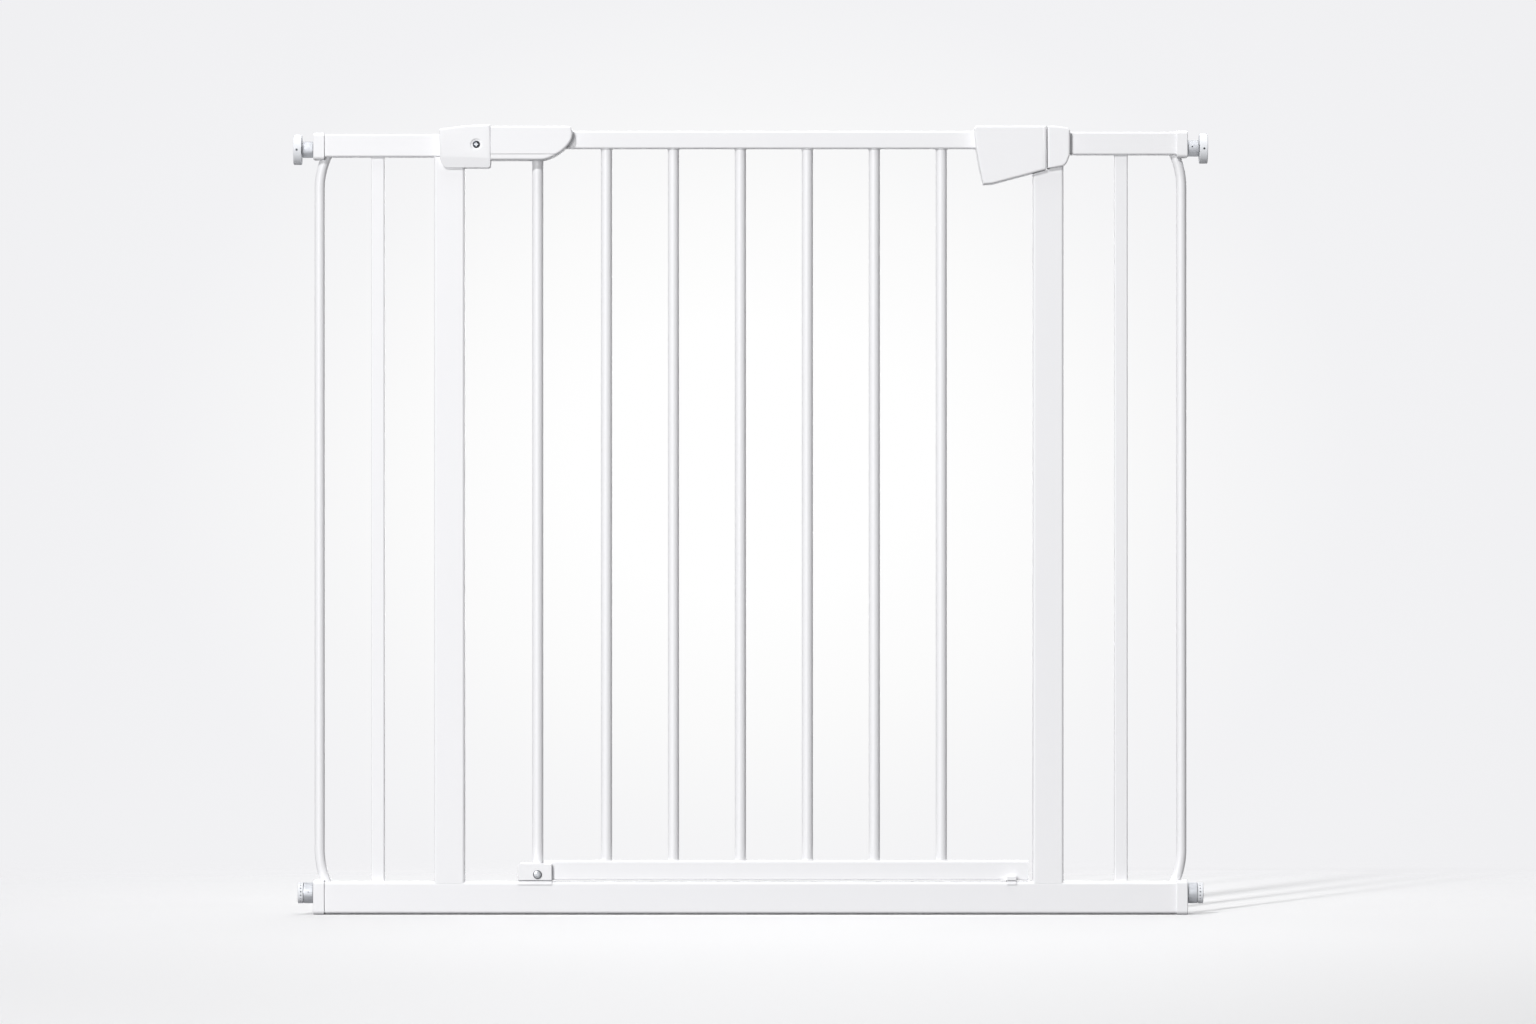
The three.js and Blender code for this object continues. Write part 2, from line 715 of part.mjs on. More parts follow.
const housingLeft = hingePostLeft + housingInset;
const housingRight = hingeX - coverGap;
const housingUnderside = leftTopRailZ - housingSkirt;
const housingLeftTop = leftTopRailTop + housingOverRail;
const housingTop = coverTop + housingOverCover;
const housingOutline = new THREE.Shape();
housingOutline.moveTo(housingLeft + housingCorner, housingUnderside);
housingOutline.lineTo(housingRight, housingUnderside);
housingOutline.lineTo(housingRight, housingTop);
housingOutline.lineTo(hingeX - coverRadius + housingLip, housingTop);
housingOutline.quadraticCurveTo(housingLeft + housingArch, housingTop, housingLeft, housingLeftTop);
housingOutline.lineTo(housingLeft + housingLean, housingUnderside + housingCorner);
housingOutline.quadraticCurveTo(
  housingLeft + 0.28 * housingCorner, housingUnderside, housingLeft + housingCorner, housingUnderside,
);

const housingEnd = coverRadius + coverGap;
const housingInnerEnd = roundZ(hingeX, 0, 0, everywhere, housingEnd + mouldingWall, 96);
const housingHollow = moulding(
  housingOutline, mouldingHalfDepth - mouldingWall, hollowBevel, mouldingWall,
)
  .subtract(housingInnerEnd);
const armBlockHalf = mouldingHalfDepth - mouldingWall - fit;
const armBlockRight = hingeX - housingEnd - mouldingWall - fit;
const armBlockTop = leftTopRailTop + armBlockOver;
const housingScrewX = hingePostRight + housingScrewOffset;
const housingScrewZ = leftTopRailZ + housingScrewRise;

// The arm: a plate under the cover, a tongue through the housing's wall, a block on the post's side
// and a plug in the end of the top rail.
const railPlugHalf = topRailDepth / 2 - tubeWall - fit;
const armPlate = coverBody.intersect(coverRound).intersect(below(armTop));
const armTongue = box(
  armBlockRight - 1, -armTongueHalf, coverUnderside, hingeX - bushOuter, armTongueHalf, armTop,
);
const armBlock = box(
  hingePostRight + fit, -armBlockHalf, coverUnderside - armBlockUnder,
  armBlockRight, armBlockHalf, armBlockTop,
);
const armPlug = box(
  hingePostRight - armPlugLength, -railPlugHalf, leftTopRailZ + tubeWall + fit,
  hingePostRight + 1, railPlugHalf, leftTopRailTop - tubeWall - fit,
);
const armBoreSpace = roundZ(hingeX, 0, 0, everywhere, armBore);
const housingScrewHole = roundY(
  housingScrewX, housingScrewZ, -mouldingHalfDepth - 1,
  housingScrewLength - mouldingHalfDepth, screwShank / 2 + running,
);
piece(
  'hinge_arm',
  armPlate.add(armTongue).add(armBlock).add(armPlug).subtract(armBoreSpace).subtract(housingScrewHole),
  plastic,
);

const housingScrewSeat = housingScrewRecessDepth - mouldingHalfDepth;
const housingRecess = roundY(
  housingScrewX, housingScrewZ, -mouldingHalfDepth - 1, housingScrewSeat, housingScrewRecess / 2,
);
const hingePostSpace = alongZ(
  roundedRect(postWidth + 2 * fit, bottomRailDepth + 2 * fit, bottomRailCorner + fit),
  hingePostX, 0, leftTopRailZ + fit,
);
const leftTopRailSpace = alongX(
  roundedRect(topRailHeight + 2 * fit, topRailDepth + 2 * fit, topRailCorner + fit),
  -frameHalf, hingePostRight + fit, leftTopRailMid,
);
const tongueSpace = box(
  armBlockRight - 1, -armTongueHalf - fit, coverUnderside - fit,
  hingeX, armTongueHalf + fit, armTop + fit,
);
const [housingFront, housingRear] = halves(
  moulding(housingOutline, mouldingHalfDepth, mouldingBevel)
    .subtract(roundZ(hingeX, 0, 0, everywhere, housingEnd, 96))
    .subtract(housingHollow)
    .subtract(hingePostSpace)
    .subtract(leftTopRailSpace)
    .subtract(tongueSpace)
    .subtract(housingRecess)
    .subtract(housingScrewHole),
);
piece('hinge_housing_front', housingFront, plastic);
piece('hinge_housing_rear', housingRear, plastic);

/** A pan-head screw along Y; its head's underside is on y and its shank points to the given side. */
function screw(x, z, y, towards, headDiameter, headHeight, shankDiameter, shankLength) {
  const dome = headHeight * 0.45;
  const points = [
    [0, -shankLength],
    [shankDiameter / 2, -shankLength],
    [shankDiameter / 2, 0],
    [headDiameter / 2, 0],
    [headDiameter / 2, headHeight - dome],
    [headDiameter / 3, headHeight],
    [0, headHeight],
  ];
  const loop = points.map(([r, h]) => new THREE.Vector2(r, h));
  const geometry = new THREE.LatheGeometry(loop, 16);
  if (towards > 0) geometry.rotateX(Math.PI);
  geometry.translate(x, y, z);
  return outward(solid(geometry), geometry);
}

piece('hinge_housing_screw', screw(
  housingScrewX, housingScrewZ, housingScrewSeat, 1, housingScrewHead, housingScrewHeadHeight,
  screwShank, housingScrewLength - housingScrewRecessDepth - screwBite,
), blackSteel);

piece('hinge_bush', turnedZ([
  [bushInner, 0],
  [bushOuter, 0],
  [bushOuter, armThickness],
  [bushInner, armThickness],
], hingeX, 0, coverUnderside), acetal);

// ---- Upper hinge, turning collar and spring ----

const flangeBottom = armTop + running;
piece('hinge_collar', turnedZ([
  [barRadius + running, coverUnderside],
  [collarOuter, coverUnderside],
  [collarOuter, flangeBottom],
  [collarFlange / 2, flangeBottom],
  [collarFlange / 2, flangeBottom + collarFlangeHeight],
  [barRadius + running, flangeBottom + collarFlangeHeight],
], hingeX, 0, 0), acetal);

const hingeBlockTop = coverTop - mouldingWall - hingeBlockDrop;
const hingeBlockBottom = hingeBlockTop - hingeBlockHeight;
const springBottom = flangeBottom + collarFlangeHeight + fit;
const springMean = collarFlange / 2 - springWire / 2 - springSeat;
piece('closing_spring', coil(
  hingeX, 0, springBottom, hingeBlockBottom - fit, springMean, springWire, springTurns,
), springSteel);

// ---- Leaf tubes ----

const leafBottomMid = leafBottom + leafBottomRailHeight / 2;
const leafTopMid = leafTopRailZ + leafTopRailHeight / 2;
const leafBottomStart = hingeX + barRadius + fit;
const leafTopStart = hingeX + hingeBlockFront + fit;
const plugFace = leafEnd - leafPlugHead;
const leafBottomSection = tubeSection(leafBottomRailHeight, leafRailDepth, leafRailCorner, leafWall);
const leafTopSection = tubeSection(leafTopRailHeight, leafRailDepth, leafRailCorner, leafWall);
piece('leaf_bottom_rail', alongX(leafBottomSection, leafBottomStart, plugFace, leafBottomMid), paint);
piece('leaf_top_rail', alongX(leafTopSection, leafTopStart, leafTopRailEnd, leafTopMid), paint);

const barSection = ringSection(barRadius, barWall);
const hingeBarBottom = leafBottom + fit;
const hingeBarTop = hingeBlockTop - hingeBarDrop;
const lowerScrewZ = leafBottom + lowerScrewRise;
const lowerScrewHole = roundY(
  hingeX, lowerScrewZ, -saddleHalfDepth - 1, 0, screwShank / 2 + running,
);
piece(
  'hinge_bar',
  alongZ(barSection, hingeX, hingeBarBottom, hingeBarTop, 12).subtract(lowerScrewHole),
  paint,
);
for (let i = 0; i < barCount; i += 1) {
  const x = hingeX + firstBarOffset + i * barPitch;
  piece(`leaf_bar_${i + 1}`, alongZ(barSection, x, leafBottomRailTop, leafTopRailZ, 12), paint);
}

const leafPlug = alongX(
  roundedRect(leafBottomRailHeight, leafRailDepth, leafRailCorner), plugFace, leafEnd, leafBottomMid,
).add(box(
  plugFace - leafPlugLength, fit + leafWall - leafRailDepth / 2, leafBottom + leafWall + fit,
  plugFace + leafPlugHead / 2, leafRailDepth / 2 - leafWall - fit, leafBottomRailTop - leafWall - fit,
));
piece('leaf_rail_plug', leafPlug, plastic);

// ---- Upper hinge, leaf side ----

const barSpace = roundZ(hingeX, 0, 0, hingeBarTop + fit, barRadius + fit);
const hingeBlock = box(
  hingeX - hingeBlockBack, -hingeBlockHalfDepth, hingeBlockBottom,
  hingeX + hingeBlockFront, hingeBlockHalfDepth, hingeBlockTop,
).add(box(
  hingeX + hingeBlockFront - 1, fit + leafWall - leafRailDepth / 2, leafTopRailZ + leafWall + fit,
  leafTopStart + hingeBlockPlug, leafRailDepth / 2 - leafWall - fit, leafTop - leafWall - fit,
));
piece('hinge_block', hingeBlock.subtract(barSpace), zinc);

const leafTopSpace = alongX(
  roundedRect(leafTopRailHeight + 2 * fit, leafRailDepth + 2 * fit, leafRailCorner + fit),
  leafTopStart - fit, leafTopRailEnd + fit, leafTopMid,
);
const coverHollow = moulding(
  coverOutline(), mouldingHalfDepth - mouldingWall, hollowBevel, mouldingWall,
)
  .intersect(roundZ(hingeX, 0, 0, everywhere, coverRadius - mouldingWall, 96))
  .intersect(above(coverBottom + mouldingWall));
const collarSpace = roundZ(
  hingeX, 0, 0, coverBottom + mouldingWall + 1, collarFlange / 2 + 2 * fit,
);
const [coverFront, coverRear] = halves(
  coverBody
    .intersect(coverRound)
    .intersect(above(coverBottom))
    .subtract(coverHollow)
    .subtract(collarSpace)
    .subtract(leafTopSpace),
);
piece('hinge_cover_front', coverFront, plastic);
piece('hinge_cover_rear', coverRear, plastic);

// ---- Lower hinge ----

/** A thin saddle over the bottom rail. */
function saddle(x0, x1) {
  const outer = roundedRect(
    2 * (saddleSkirt + saddleTop - bottomRailTop), 2 * saddleHalfDepth, bottomRailCorner + fit + 0.5,
  );
  const band = alongX(outer, x0, x1, bottomRailTop - saddleSkirt);
  return band
    .intersect(above(bottomRailTop - saddleSkirt))
    .subtract(bottomRailSpace(fit));
}

const pinHole = roundZ(hingeX, 0, 0, everywhere, pinFlange / 2 + fit);
piece(
  'lower_hinge_base',
  saddle(hingeX - lowerCapLeft, hingeX + lowerCapRight).subtract(pinHole),
  plastic,
);
piece('lower_hinge_pin', turnedZ([
  [0, 0],
  [pinFlange / 2, 0],
  [pinFlange / 2, pinFlangeHeight],
  [pinDiameter / 2, pinFlangeHeight],
  [pinDiameter / 2, pinLength - pinEase],
  [pinDiameter / 2 - pinEase, pinLength],
  [0, pinLength],
], hingeX, 0, bottomRailTop, 24), zinc);

const lowerCapTop = leafBottom + lowerCapHeight;
const lowerCapOutline = new THREE.Shape();
lowerCapOutline.moveTo(hingeX - lowerCapLeft, leafBottom);
lowerCapOutline.lineTo(hingeX + lowerCapRight, leafBottom);
lowerCapOutline.lineTo(hingeX + lowerCapRight, lowerCapTop - lowerCapSlope);
lowerCapOutline.lineTo(hingeX + barRadius, lowerCapTop);
lowerCapOutline.lineTo(hingeX - lowerCapLeft + lowerCapCorner, lowerCapTop);
lowerCapOutline.quadraticCurveTo(
  hingeX - lowerCapLeft, lowerCapTop, hingeX - lowerCapLeft, lowerCapTop - lowerCapCorner,
);
const leafBottomSpace = alongX(
  roundedRect(leafBottomRailHeight + 2 * fit, leafRailDepth + 2 * fit, leafRailCorner + fit),
  leafBottomStart - fit, plugFace, leafBottomMid,
);
piece(
  'lower_hinge_cap',
  moulding(lowerCapOutline, saddleHalfDepth, lowerCapBevel, 0, 3)
    .subtract(barSpace)
    .subtract(leafBottomSpace)
    .subtract(lowerScrewHole),
  plastic,
);
piece('lower_hinge_screw', screw(
  hingeX, lowerScrewZ, -saddleHalfDepth, 1, lowerScrewHead, lowerScrewHeadHeight,
  screwShank, saddleHalfDepth - barRadius + barWall - fit,
), blackSteel);

// ---- Lower catch ----

const catchX = leafEnd - catchInset;
const catchLeft = catchX - catchWidth / 2;
const catchRight = catchX + catchWidth / 2;
const catchTop = leafBottom + catchHeight;
const catchInner = -leafRailDepth / 2 - fit;
piece('bottom_strike', saddle(catchLeft, catchRight), plastic);
piece(
  'bottom_catch',
  box(catchLeft, -saddleHalfDepth, leafBottom, catchRight, catchInner, catchTop).add(box(
    catchLeft - hookLength, catchInner - hookDepth, leafBottom,
    catchLeft + 1, catchInner, catchTop - hookDrop,
  )),
  plastic,
);

// ---- Latch handle ----

const handleOutline = new THREE.Shape([
  new THREE.Vector2(handleLeft + handleToeLeft, handleUnderside + handleToeCut),
  new THREE.Vector2(handleLeft + handleToeLeft + handleToeCut, handleUnderside),
  new THREE.Vector2(handleLeft + handleToe, handleUnderside + handleToeRise),
  new THREE.Vector2(handleRight, handleUnderside + handleRise),
  new THREE.Vector2(handleRight - handleLean, latchTop),
  new THREE.Vector2(handleLeft + handleCorner, latchTop),
  new THREE.Vector2(handleLeft, latchTop - handleCorner),
  new THREE.Vector2(handleLeft + handleWaist, leafTopRailZ),
  new THREE.Vector2(handleLeft + handleKnee, handleUnderside + handleKneeRise),
]);
const handleInside = new THREE.Shape([
  new THREE.Vector2(handleLeft + handleToeLeft, handleUnderside),
  new THREE.Vector2(handleLeft + handleToe, handleUnderside + handleToeRise),
  new THREE.Vector2(handleRight, handleUnderside + handleRise),
  new THREE.Vector2(handleRight - handleLean, latchTop),
  new THREE.Vector2(handleLeft, latchTop),
  new THREE.Vector2(handleLeft + handleWaist, leafTopRailZ),
  new THREE.Vector2(handleLeft + handleKnee, handleUnderside + handleKneeRise),
]);
const handleHollow = moulding(handleInside, latchHalfDepth - mouldingWall, hollowBevel, mouldingWall);
const boltOpening = box(
  handleRight - handleLean - 2 * mouldingWall, -boltWidth / 2 - fit, boltBottom - fit,
  boltEnd + fit, boltWidth / 2 + fit, boltTop + fit,
);
const buttonOpening = box(
  buttonX - buttonLength / 2 - fit, -buttonDepth / 2 - fit, latchTop - 2 * mouldingWall,
  buttonX + buttonLength / 2 + fit, buttonDepth / 2 + fit, buttonTop + fit,
);
const handleScrewX = handleLeft + handleScrewOffset;
const handleScrewZ = handleUnderside + handleScrewRise;
const insideHalf = latchHalfDepth - mouldingWall;
const handleBoss = roundY(
  handleScrewX, handleScrewZ, -insideHalf - hollowBevel, insideHalf + hollowBevel,
  latchScrewHead / 2 + latchScrewBoss,
);
const handleScrewHole = roundY(
  handleScrewX, handleScrewZ, -insideHalf, latchHalfDepth + 1, latchScrewShank / 2 + running,
);
const latchScrewSeat = latchHalfDepth - latchScrewRecess;
const handleScrewHeadHole = roundY(
  handleScrewX, handleScrewZ, latchScrewSeat, latchHalfDepth + 1, latchScrewHead / 2 + fit,
);
const buttonSpringOuter = buttonSpringMean + buttonSpringWire / 2;
const springShelf = box(
  buttonX - buttonSpringOuter - shelfMargin, buttonSpringOffset - buttonSpringOuter,
  boltBottom - shelfThickness,
  buttonX + buttonSpringOuter + shelfMargin, insideHalf + hollowBevel, boltBottom,
);
const boltShelf = box(
  buttonX - camLead, -insideHalf - hollowBevel, boltBottom - fit - shelfThickness,
  buttonX + camLead, -shellGap / 2, boltBottom - fit,
);
const [handleFront, handleRear] = halves(
  moulding(handleOutline, latchHalfDepth, mouldingBevel)
    .subtract(handleHollow)
    .add(handleBoss)
    .subtract(leafTopSpace)
    .subtract(boltOpening)
    .subtract(buttonOpening)
    .subtract(handleScrewHole)
    .subtract(handleScrewHeadHole),
);
piece('handle_front', handleFront.add(boltShelf), plastic);
piece('handle_rear', handleRear.add(springShelf), plastic);
piece('handle_screw', screw(
  handleScrewX, handleScrewZ, latchScrewSeat, -1, latchScrewHead, latchScrewHeadHeight,
  latchScrewShank, latchScrewSeat + insideHalf - screwBite,
), blackSteel);

// ---- Thumb button, latch bolt and button spring ----

// A 45-degree cam blade under the button runs in a slanted slot of the bolt, so the bolt draws
// back by as much as the button goes down.
const flangeTop = latchTop - mouldingWall - fit;
const flangeUnder = flangeTop - buttonFlangeHeight;

/** The cam blade's slanted outline, seen from the front, with a clearance along X. */
function camSolid(clearance, halfDepth) {
  const top = flangeUnder + 1;
  const foot = top - camLength;
  const half = camThickness / 2 + clearance;
  const xTop = buttonX - camLead;
  const xFoot = xTop + camLength;
  const shape = new THREE.Shape([
    new THREE.Vector2(xFoot - half, foot),
    new THREE.Vector2(xFoot + half, foot),
    new THREE.Vector2(xTop + half, top),
    new THREE.Vector2(xTop - half, top),
  ]);
  const geometry = new THREE.ExtrudeGeometry(shape, { depth: 2 * halfDepth, bevelEnabled: false });
  geometry.rotateX(Math.PI / 2);
  geometry.translate(0, halfDepth, 0);
  return solid(geometry);
}

const buttonCap = box(
  buttonX - buttonLength / 2, -buttonDepth / 2, flangeTop - 1,
  buttonX + buttonLength / 2, buttonDepth / 2, buttonTop,
);
const springEdge = buttonSpringOffset + buttonSpringMean + buttonSpringWire;
const buttonPlate = box(
  buttonX - buttonLength / 2 - buttonFlange, -buttonDepth / 2 - buttonFlange, flangeUnder,
  buttonX + buttonLength / 2 + buttonFlange, springEdge, flangeTop,
);
piece('thumb_button', buttonCap.add(buttonPlate).add(camSolid(0, camDepth / 2)), plastic);

const boltStart = boltEnd - boltLength;
const bolt = box(boltStart, -boltWidth / 2, boltBottom, boltEnd, boltWidth / 2, boltTop);
piece('latch_bolt', bolt.subtract(camSolid(fit, camDepth / 2 + fit)), zinc);

piece('button_spring', coil(
  buttonX, buttonSpringOffset, boltBottom + fit, flangeUnder - fit,
  buttonSpringMean, buttonSpringWire, buttonSpringTurns,
), springSteel);

// ---- Strike ----

const strikeOutline = new THREE.Shape([
  new THREE.Vector2(strikeLeft + strikeLean, strikeUnderside),
  new THREE.Vector2(strikeRight - strikeChin, strikeUnderside + 0.44 * strikeChinRise),
  new THREE.Vector2(strikeRight - strikeChin / 2, strikeUnderside + strikeChinRise),
  new THREE.Vector2(strikeRight, rightTopRailZ),
  new THREE.Vector2(strikeRight, latchTop - strikeShoulderDrop),
  new THREE.Vector2(strikeRight - strikeShoulder, latchTop - 0.35 * strikeShoulderDrop),
  new THREE.Vector2(strikeLeft + strikeCrown, latchTop),
  new THREE.Vector2(strikeLeft, latchTop),
]);
const latchPostSpace = alongZ(
  roundedRect(postWidth + 2 * fit, bottomRailDepth + 2 * fit, bottomRailCorner + fit),
  latchPostX, 0, rightTopRailTop + fit,
).subtract(box(
  0, -latchHalfDepth, 0, strikeLeft + strikeWall, latchHalfDepth, latchTop,
));
const mouthHalf = boltWidth / 2 + mouthSide;
const boltMouth = box(
  handleRight, -mouthHalf, boltBottom - mouthBelow,
  strikeLeft + strikeWall + fit, mouthHalf, boltTop + mouthAbove,
);
const rightTopRailSpace = alongX(
  roundedRect(topRailHeight + 2 * fit, topRailDepth + 2 * fit, topRailCorner + fit),
  latchPostX, frameHalf, rightTopRailMid,
);
const strikeScrewHeadHole = roundY(
  strikeScrewX, strikeScrewZ, latchScrewSeat, latchHalfDepth + 1, latchScrewHead / 2 + fit,
);
const strikeScrewShankHole = roundY(
  strikeScrewX, strikeScrewZ, 0, latchHalfDepth + 1, latchScrewShank / 2 + running,
);
const [strikeFront, strikeRear] = halves(
  moulding(strikeOutline, latchHalfDepth, mouldingBevel)
    .subtract(latchPostSpace)
    .subtract(boltMouth)
    .subtract(rightTopRailSpace)
    .subtract(strikeScrewShankHole)
    .subtract(strikeScrewHeadHole),
);
piece('strike_front', strikeFront, plastic);
piece('strike_rear', strikeRear, plastic);
piece('strike_screw', screw(
  strikeScrewX, strikeScrewZ, latchScrewSeat, -1, latchScrewHead, latchScrewHeadHeight,
  latchScrewShank, latchScrewSeat - bottomRailDepth / 2 + tubeWall + screwBite,
), blackSteel);

export default gate;
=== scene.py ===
"""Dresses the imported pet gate: finished pieces and materials over the CAD frame, and a plain studio.

Every piece is made in metres in the frame's own axes (+X across the doorway, +Y through it, +Z up)
and takes its place from the CAD nodes' boxes. The file is laid out as an add-on and run as a script.
"""

import math

import bmesh
import bpy
from bpy.props import FloatProperty, FloatVectorProperty, IntProperty, PointerProperty
from bpy.types import Operator, Panel, PropertyGroup
from mathutils import Matrix, Vector


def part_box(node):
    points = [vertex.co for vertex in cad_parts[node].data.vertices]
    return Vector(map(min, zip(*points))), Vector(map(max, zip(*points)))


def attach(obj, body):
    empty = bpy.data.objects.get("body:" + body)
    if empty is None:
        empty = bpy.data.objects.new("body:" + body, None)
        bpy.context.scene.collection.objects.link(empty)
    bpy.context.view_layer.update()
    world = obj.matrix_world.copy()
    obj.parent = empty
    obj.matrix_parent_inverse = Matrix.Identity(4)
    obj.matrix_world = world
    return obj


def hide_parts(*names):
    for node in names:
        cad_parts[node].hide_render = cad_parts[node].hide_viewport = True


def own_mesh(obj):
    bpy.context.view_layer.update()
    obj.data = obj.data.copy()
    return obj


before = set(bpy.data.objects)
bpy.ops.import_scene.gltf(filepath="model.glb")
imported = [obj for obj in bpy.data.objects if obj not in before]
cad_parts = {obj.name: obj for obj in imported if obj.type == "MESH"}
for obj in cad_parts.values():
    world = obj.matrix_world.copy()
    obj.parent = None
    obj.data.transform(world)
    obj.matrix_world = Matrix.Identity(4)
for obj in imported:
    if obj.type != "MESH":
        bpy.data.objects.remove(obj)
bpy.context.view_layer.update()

bl_info = {
    "name": "Pet gate looks",
    "version": (1, 0, 0),
    "blender": (4, 5, 0),
    "location": "3D View > Sidebar > Pet gate",
    "description": "Builds the visible pieces, finishes and studio of a pressure-fit pet gate",
    "category": "Object",
}

MM = 0.001
BOXES = {name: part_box(name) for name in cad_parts}

# Clearances, as the solids have them.
FIT = 0.3 * MM
SEAM = 0.3 * MM
RUNNING = 0.25 * MM

# Tubes and bars.
RAIL_CORNER = 2.5 * MM
SIDE_RAIL_CORNER = 2 * MM
SIDE_BAR_CORNER = 1.5 * MM
TUBE_WALL = 1.2 * MM
THIN_WALL = 1 * MM
BAR_SIDES = 40
OUTER_BAR_RADIUS = 5 * MM
OUTER_BAR_BORE = 4 * MM
BEND_RADIUS = 80 * MM
BEND_LEAN = 6.5 * MM
PLAY = TUBE_WALL + FIT  # from a tube's outside to a plug in its bore
SEAM_REACH = 1.4 * MM  # how far a post's seams run out past the rail's flat top

# Mouldings of the upper hinge and the latch.
SHELL = 2.5 * MM
COVER_RADIUS = 49 * MM
COVER_GAP = 0.4 * MM
COVER_CORNER = 4.5 * MM
SWEEP_START = 4.4 * MM
SWEEP_HEIGHT = 24.2 * MM
HOUSING_CORNER = 9 * MM
HOUSING_LEAN = 0.9 * MM
HOUSING_LIP = 3 * MM
HOUSING_ARCH = 21 * MM
HOUSING_OVER_RAIL = 4.5 * MM
FOLD_DEPTH = 2.4 * MM
ARM_RECESS = 12.3 * MM
ARM_TONGUE = 12 * MM
HANDLE_TOE = 18.4 * MM
HANDLE_TOE_RISE = 0.4 * MM
HANDLE_RISE = 14.4 * MM
POST_GAP = 0.7 * MM
STRIKE_WALL = 2 * MM
BUTTON_INSET = 22.2 * MM
THROUGH = 20 * MM  # reach of a tool that cuts right through
COLLAR_SPACE = 10.6 * MM

# Screws, and the holes that clear their shanks.
SCREW_HOLE = 2.05 * MM
LATCH_SCREW_HOLE = 1.75 * MM
HOUSING_COUNTERBORE = 5.65 * MM
HOUSING_SCREW_SUNK = 1.2 * MM
LATCH_COUNTERBORE = 3.5 * MM
LATCH_SCREW_SUNK = 2 * MM

# Adjusters.
CAP_LENGTH = 10.9 * MM
CAP_PLUG_ROOT = 1.3 * MM  # inside the end of the cap
SPINDLE_HOLE = 4.25 * MM
PAD_EDGE = 0.9 * MM
PAD_SOCKET = 3.4 * MM


def low(name):
    """Lowest corner of a CAD node's box."""
    return BOXES[name][0]


def high(name):
    """Highest corner of a CAD node's box."""
    return BOXES[name][1]


def middle(name):
    """Middle of a CAD node's box."""
    return (low(name) + high(name)) / 2


def radius_of(name, across="x"):
    """Radius of a round CAD node, from its width along one axis."""
    return (getattr(high(name), across) - getattr(low(name), across)) / 2


def linear(hex_colour):
    """An sRGB hex colour as linear RGBA."""
    channels = [int(hex_colour[i : i + 2], 16) / 255 for i in (0, 2, 4)]
    return tuple(c / 12.92 if c <= 0.04045 else ((c + 0.055) / 1.055) ** 2.4 for c in channels) + (1.0,)


def add(tree, kind, inputs=None, **settings):
    """Adds a node with its settings and inputs.

    An input given as a socket, or as a node for its first output, is linked. A list links each of its
    items, and any other value is set.
    """
    made = tree.nodes.new(kind)
    for name, value in settings.items():
        setattr(made, name, value)
    for key, given in (inputs or {}).items():
        for value in given if isinstance(given, list) else [given]:
            if isinstance(value, bpy.types.Node):
                value = value.outputs[0]
            if isinstance(value, bpy.types.NodeSocket):
                tree.links.new(value, made.inputs[key])
            else:
                made.inputs[key].default_value = value
    return made


# ---- Meshes ----


def link(name, mesh):
    """A new object at the origin for a finished mesh."""
    piece = bpy.data.objects.new(name, mesh)
    bpy.context.scene.collection.objects.link(piece)
    return piece


def mesh_object(name, points, faces):
    """An object from points and faces, with doubles merged and every face pointing outwards."""
    mesh = bpy.data.meshes.new(name)
    mesh.from_pydata([tuple(p) for p in points], [], faces)
    made = bmesh.new()
    made.from_mesh(mesh)
    bmesh.ops.remove_doubles(made, verts=made.verts, dist=1e-6)
    bmesh.ops.dissolve_degenerate(made, edges=made.edges, dist=1e-7)
    bmesh.ops.recalc_face_normals(made, faces=made.faces)
    if made.calc_volume(signed=True) < 0:
        bmesh.ops.reverse_faces(made, faces=made.faces)
    made.to_mesh(mesh)
    made.free()
    return link(name, mesh)


def face_out(piece):
    """Turns every face of a closed piece outwards."""
    made = bmesh.new()
    made.from_mesh(piece.data)
    bmesh.ops.recalc_face_normals(made, faces=made.faces)
    made.to_mesh(piece.data)
    made.free()
    return piece


def bake(piece):
    """Turns a piece's modifiers into a plain mesh."""
    bpy.context.view_layer.update()
    evaluated = piece.evaluated_get(bpy.context.evaluated_depsgraph_get())
    mesh = bpy.data.meshes.new_from_object(evaluated)
    old = piece.data
    piece.modifiers.clear()
    piece.data = mesh
    bpy.data.meshes.remove(old)
    mesh.name = piece.name
    return piece


def carve(piece, **tools):
    """Cuts, keeps or joins tools in turn (cut=[...], keep=[...], join=[...]) and deletes them."""
    operations = {"cut": "DIFFERENCE", "keep": "INTERSECT", "join": "UNION"}
    for word, listed in tools.items():
        for tool in listed:
            change = piece.modifiers.new(word, "BOOLEAN")
            change.operation = operations[word]
            change.solver = "MANIFOLD"
            change.object = tool
    bake(piece)
    for tool in [t for listed in tools.values() for t in listed]:
        bpy.data.objects.remove(tool)
    return piece


def smooth(piece, angle):
    """Smooth shading that stays crisp at real edges and flat on flat faces."""
    piece.data.shade_smooth()
    piece.data.set_sharp_from_angle(angle=math.radians(angle))
    weigh = piece.modifiers.new("Flat faces stay flat", "WEIGHTED_NORMAL")
    weigh.keep_sharp = True
    return bake(piece)


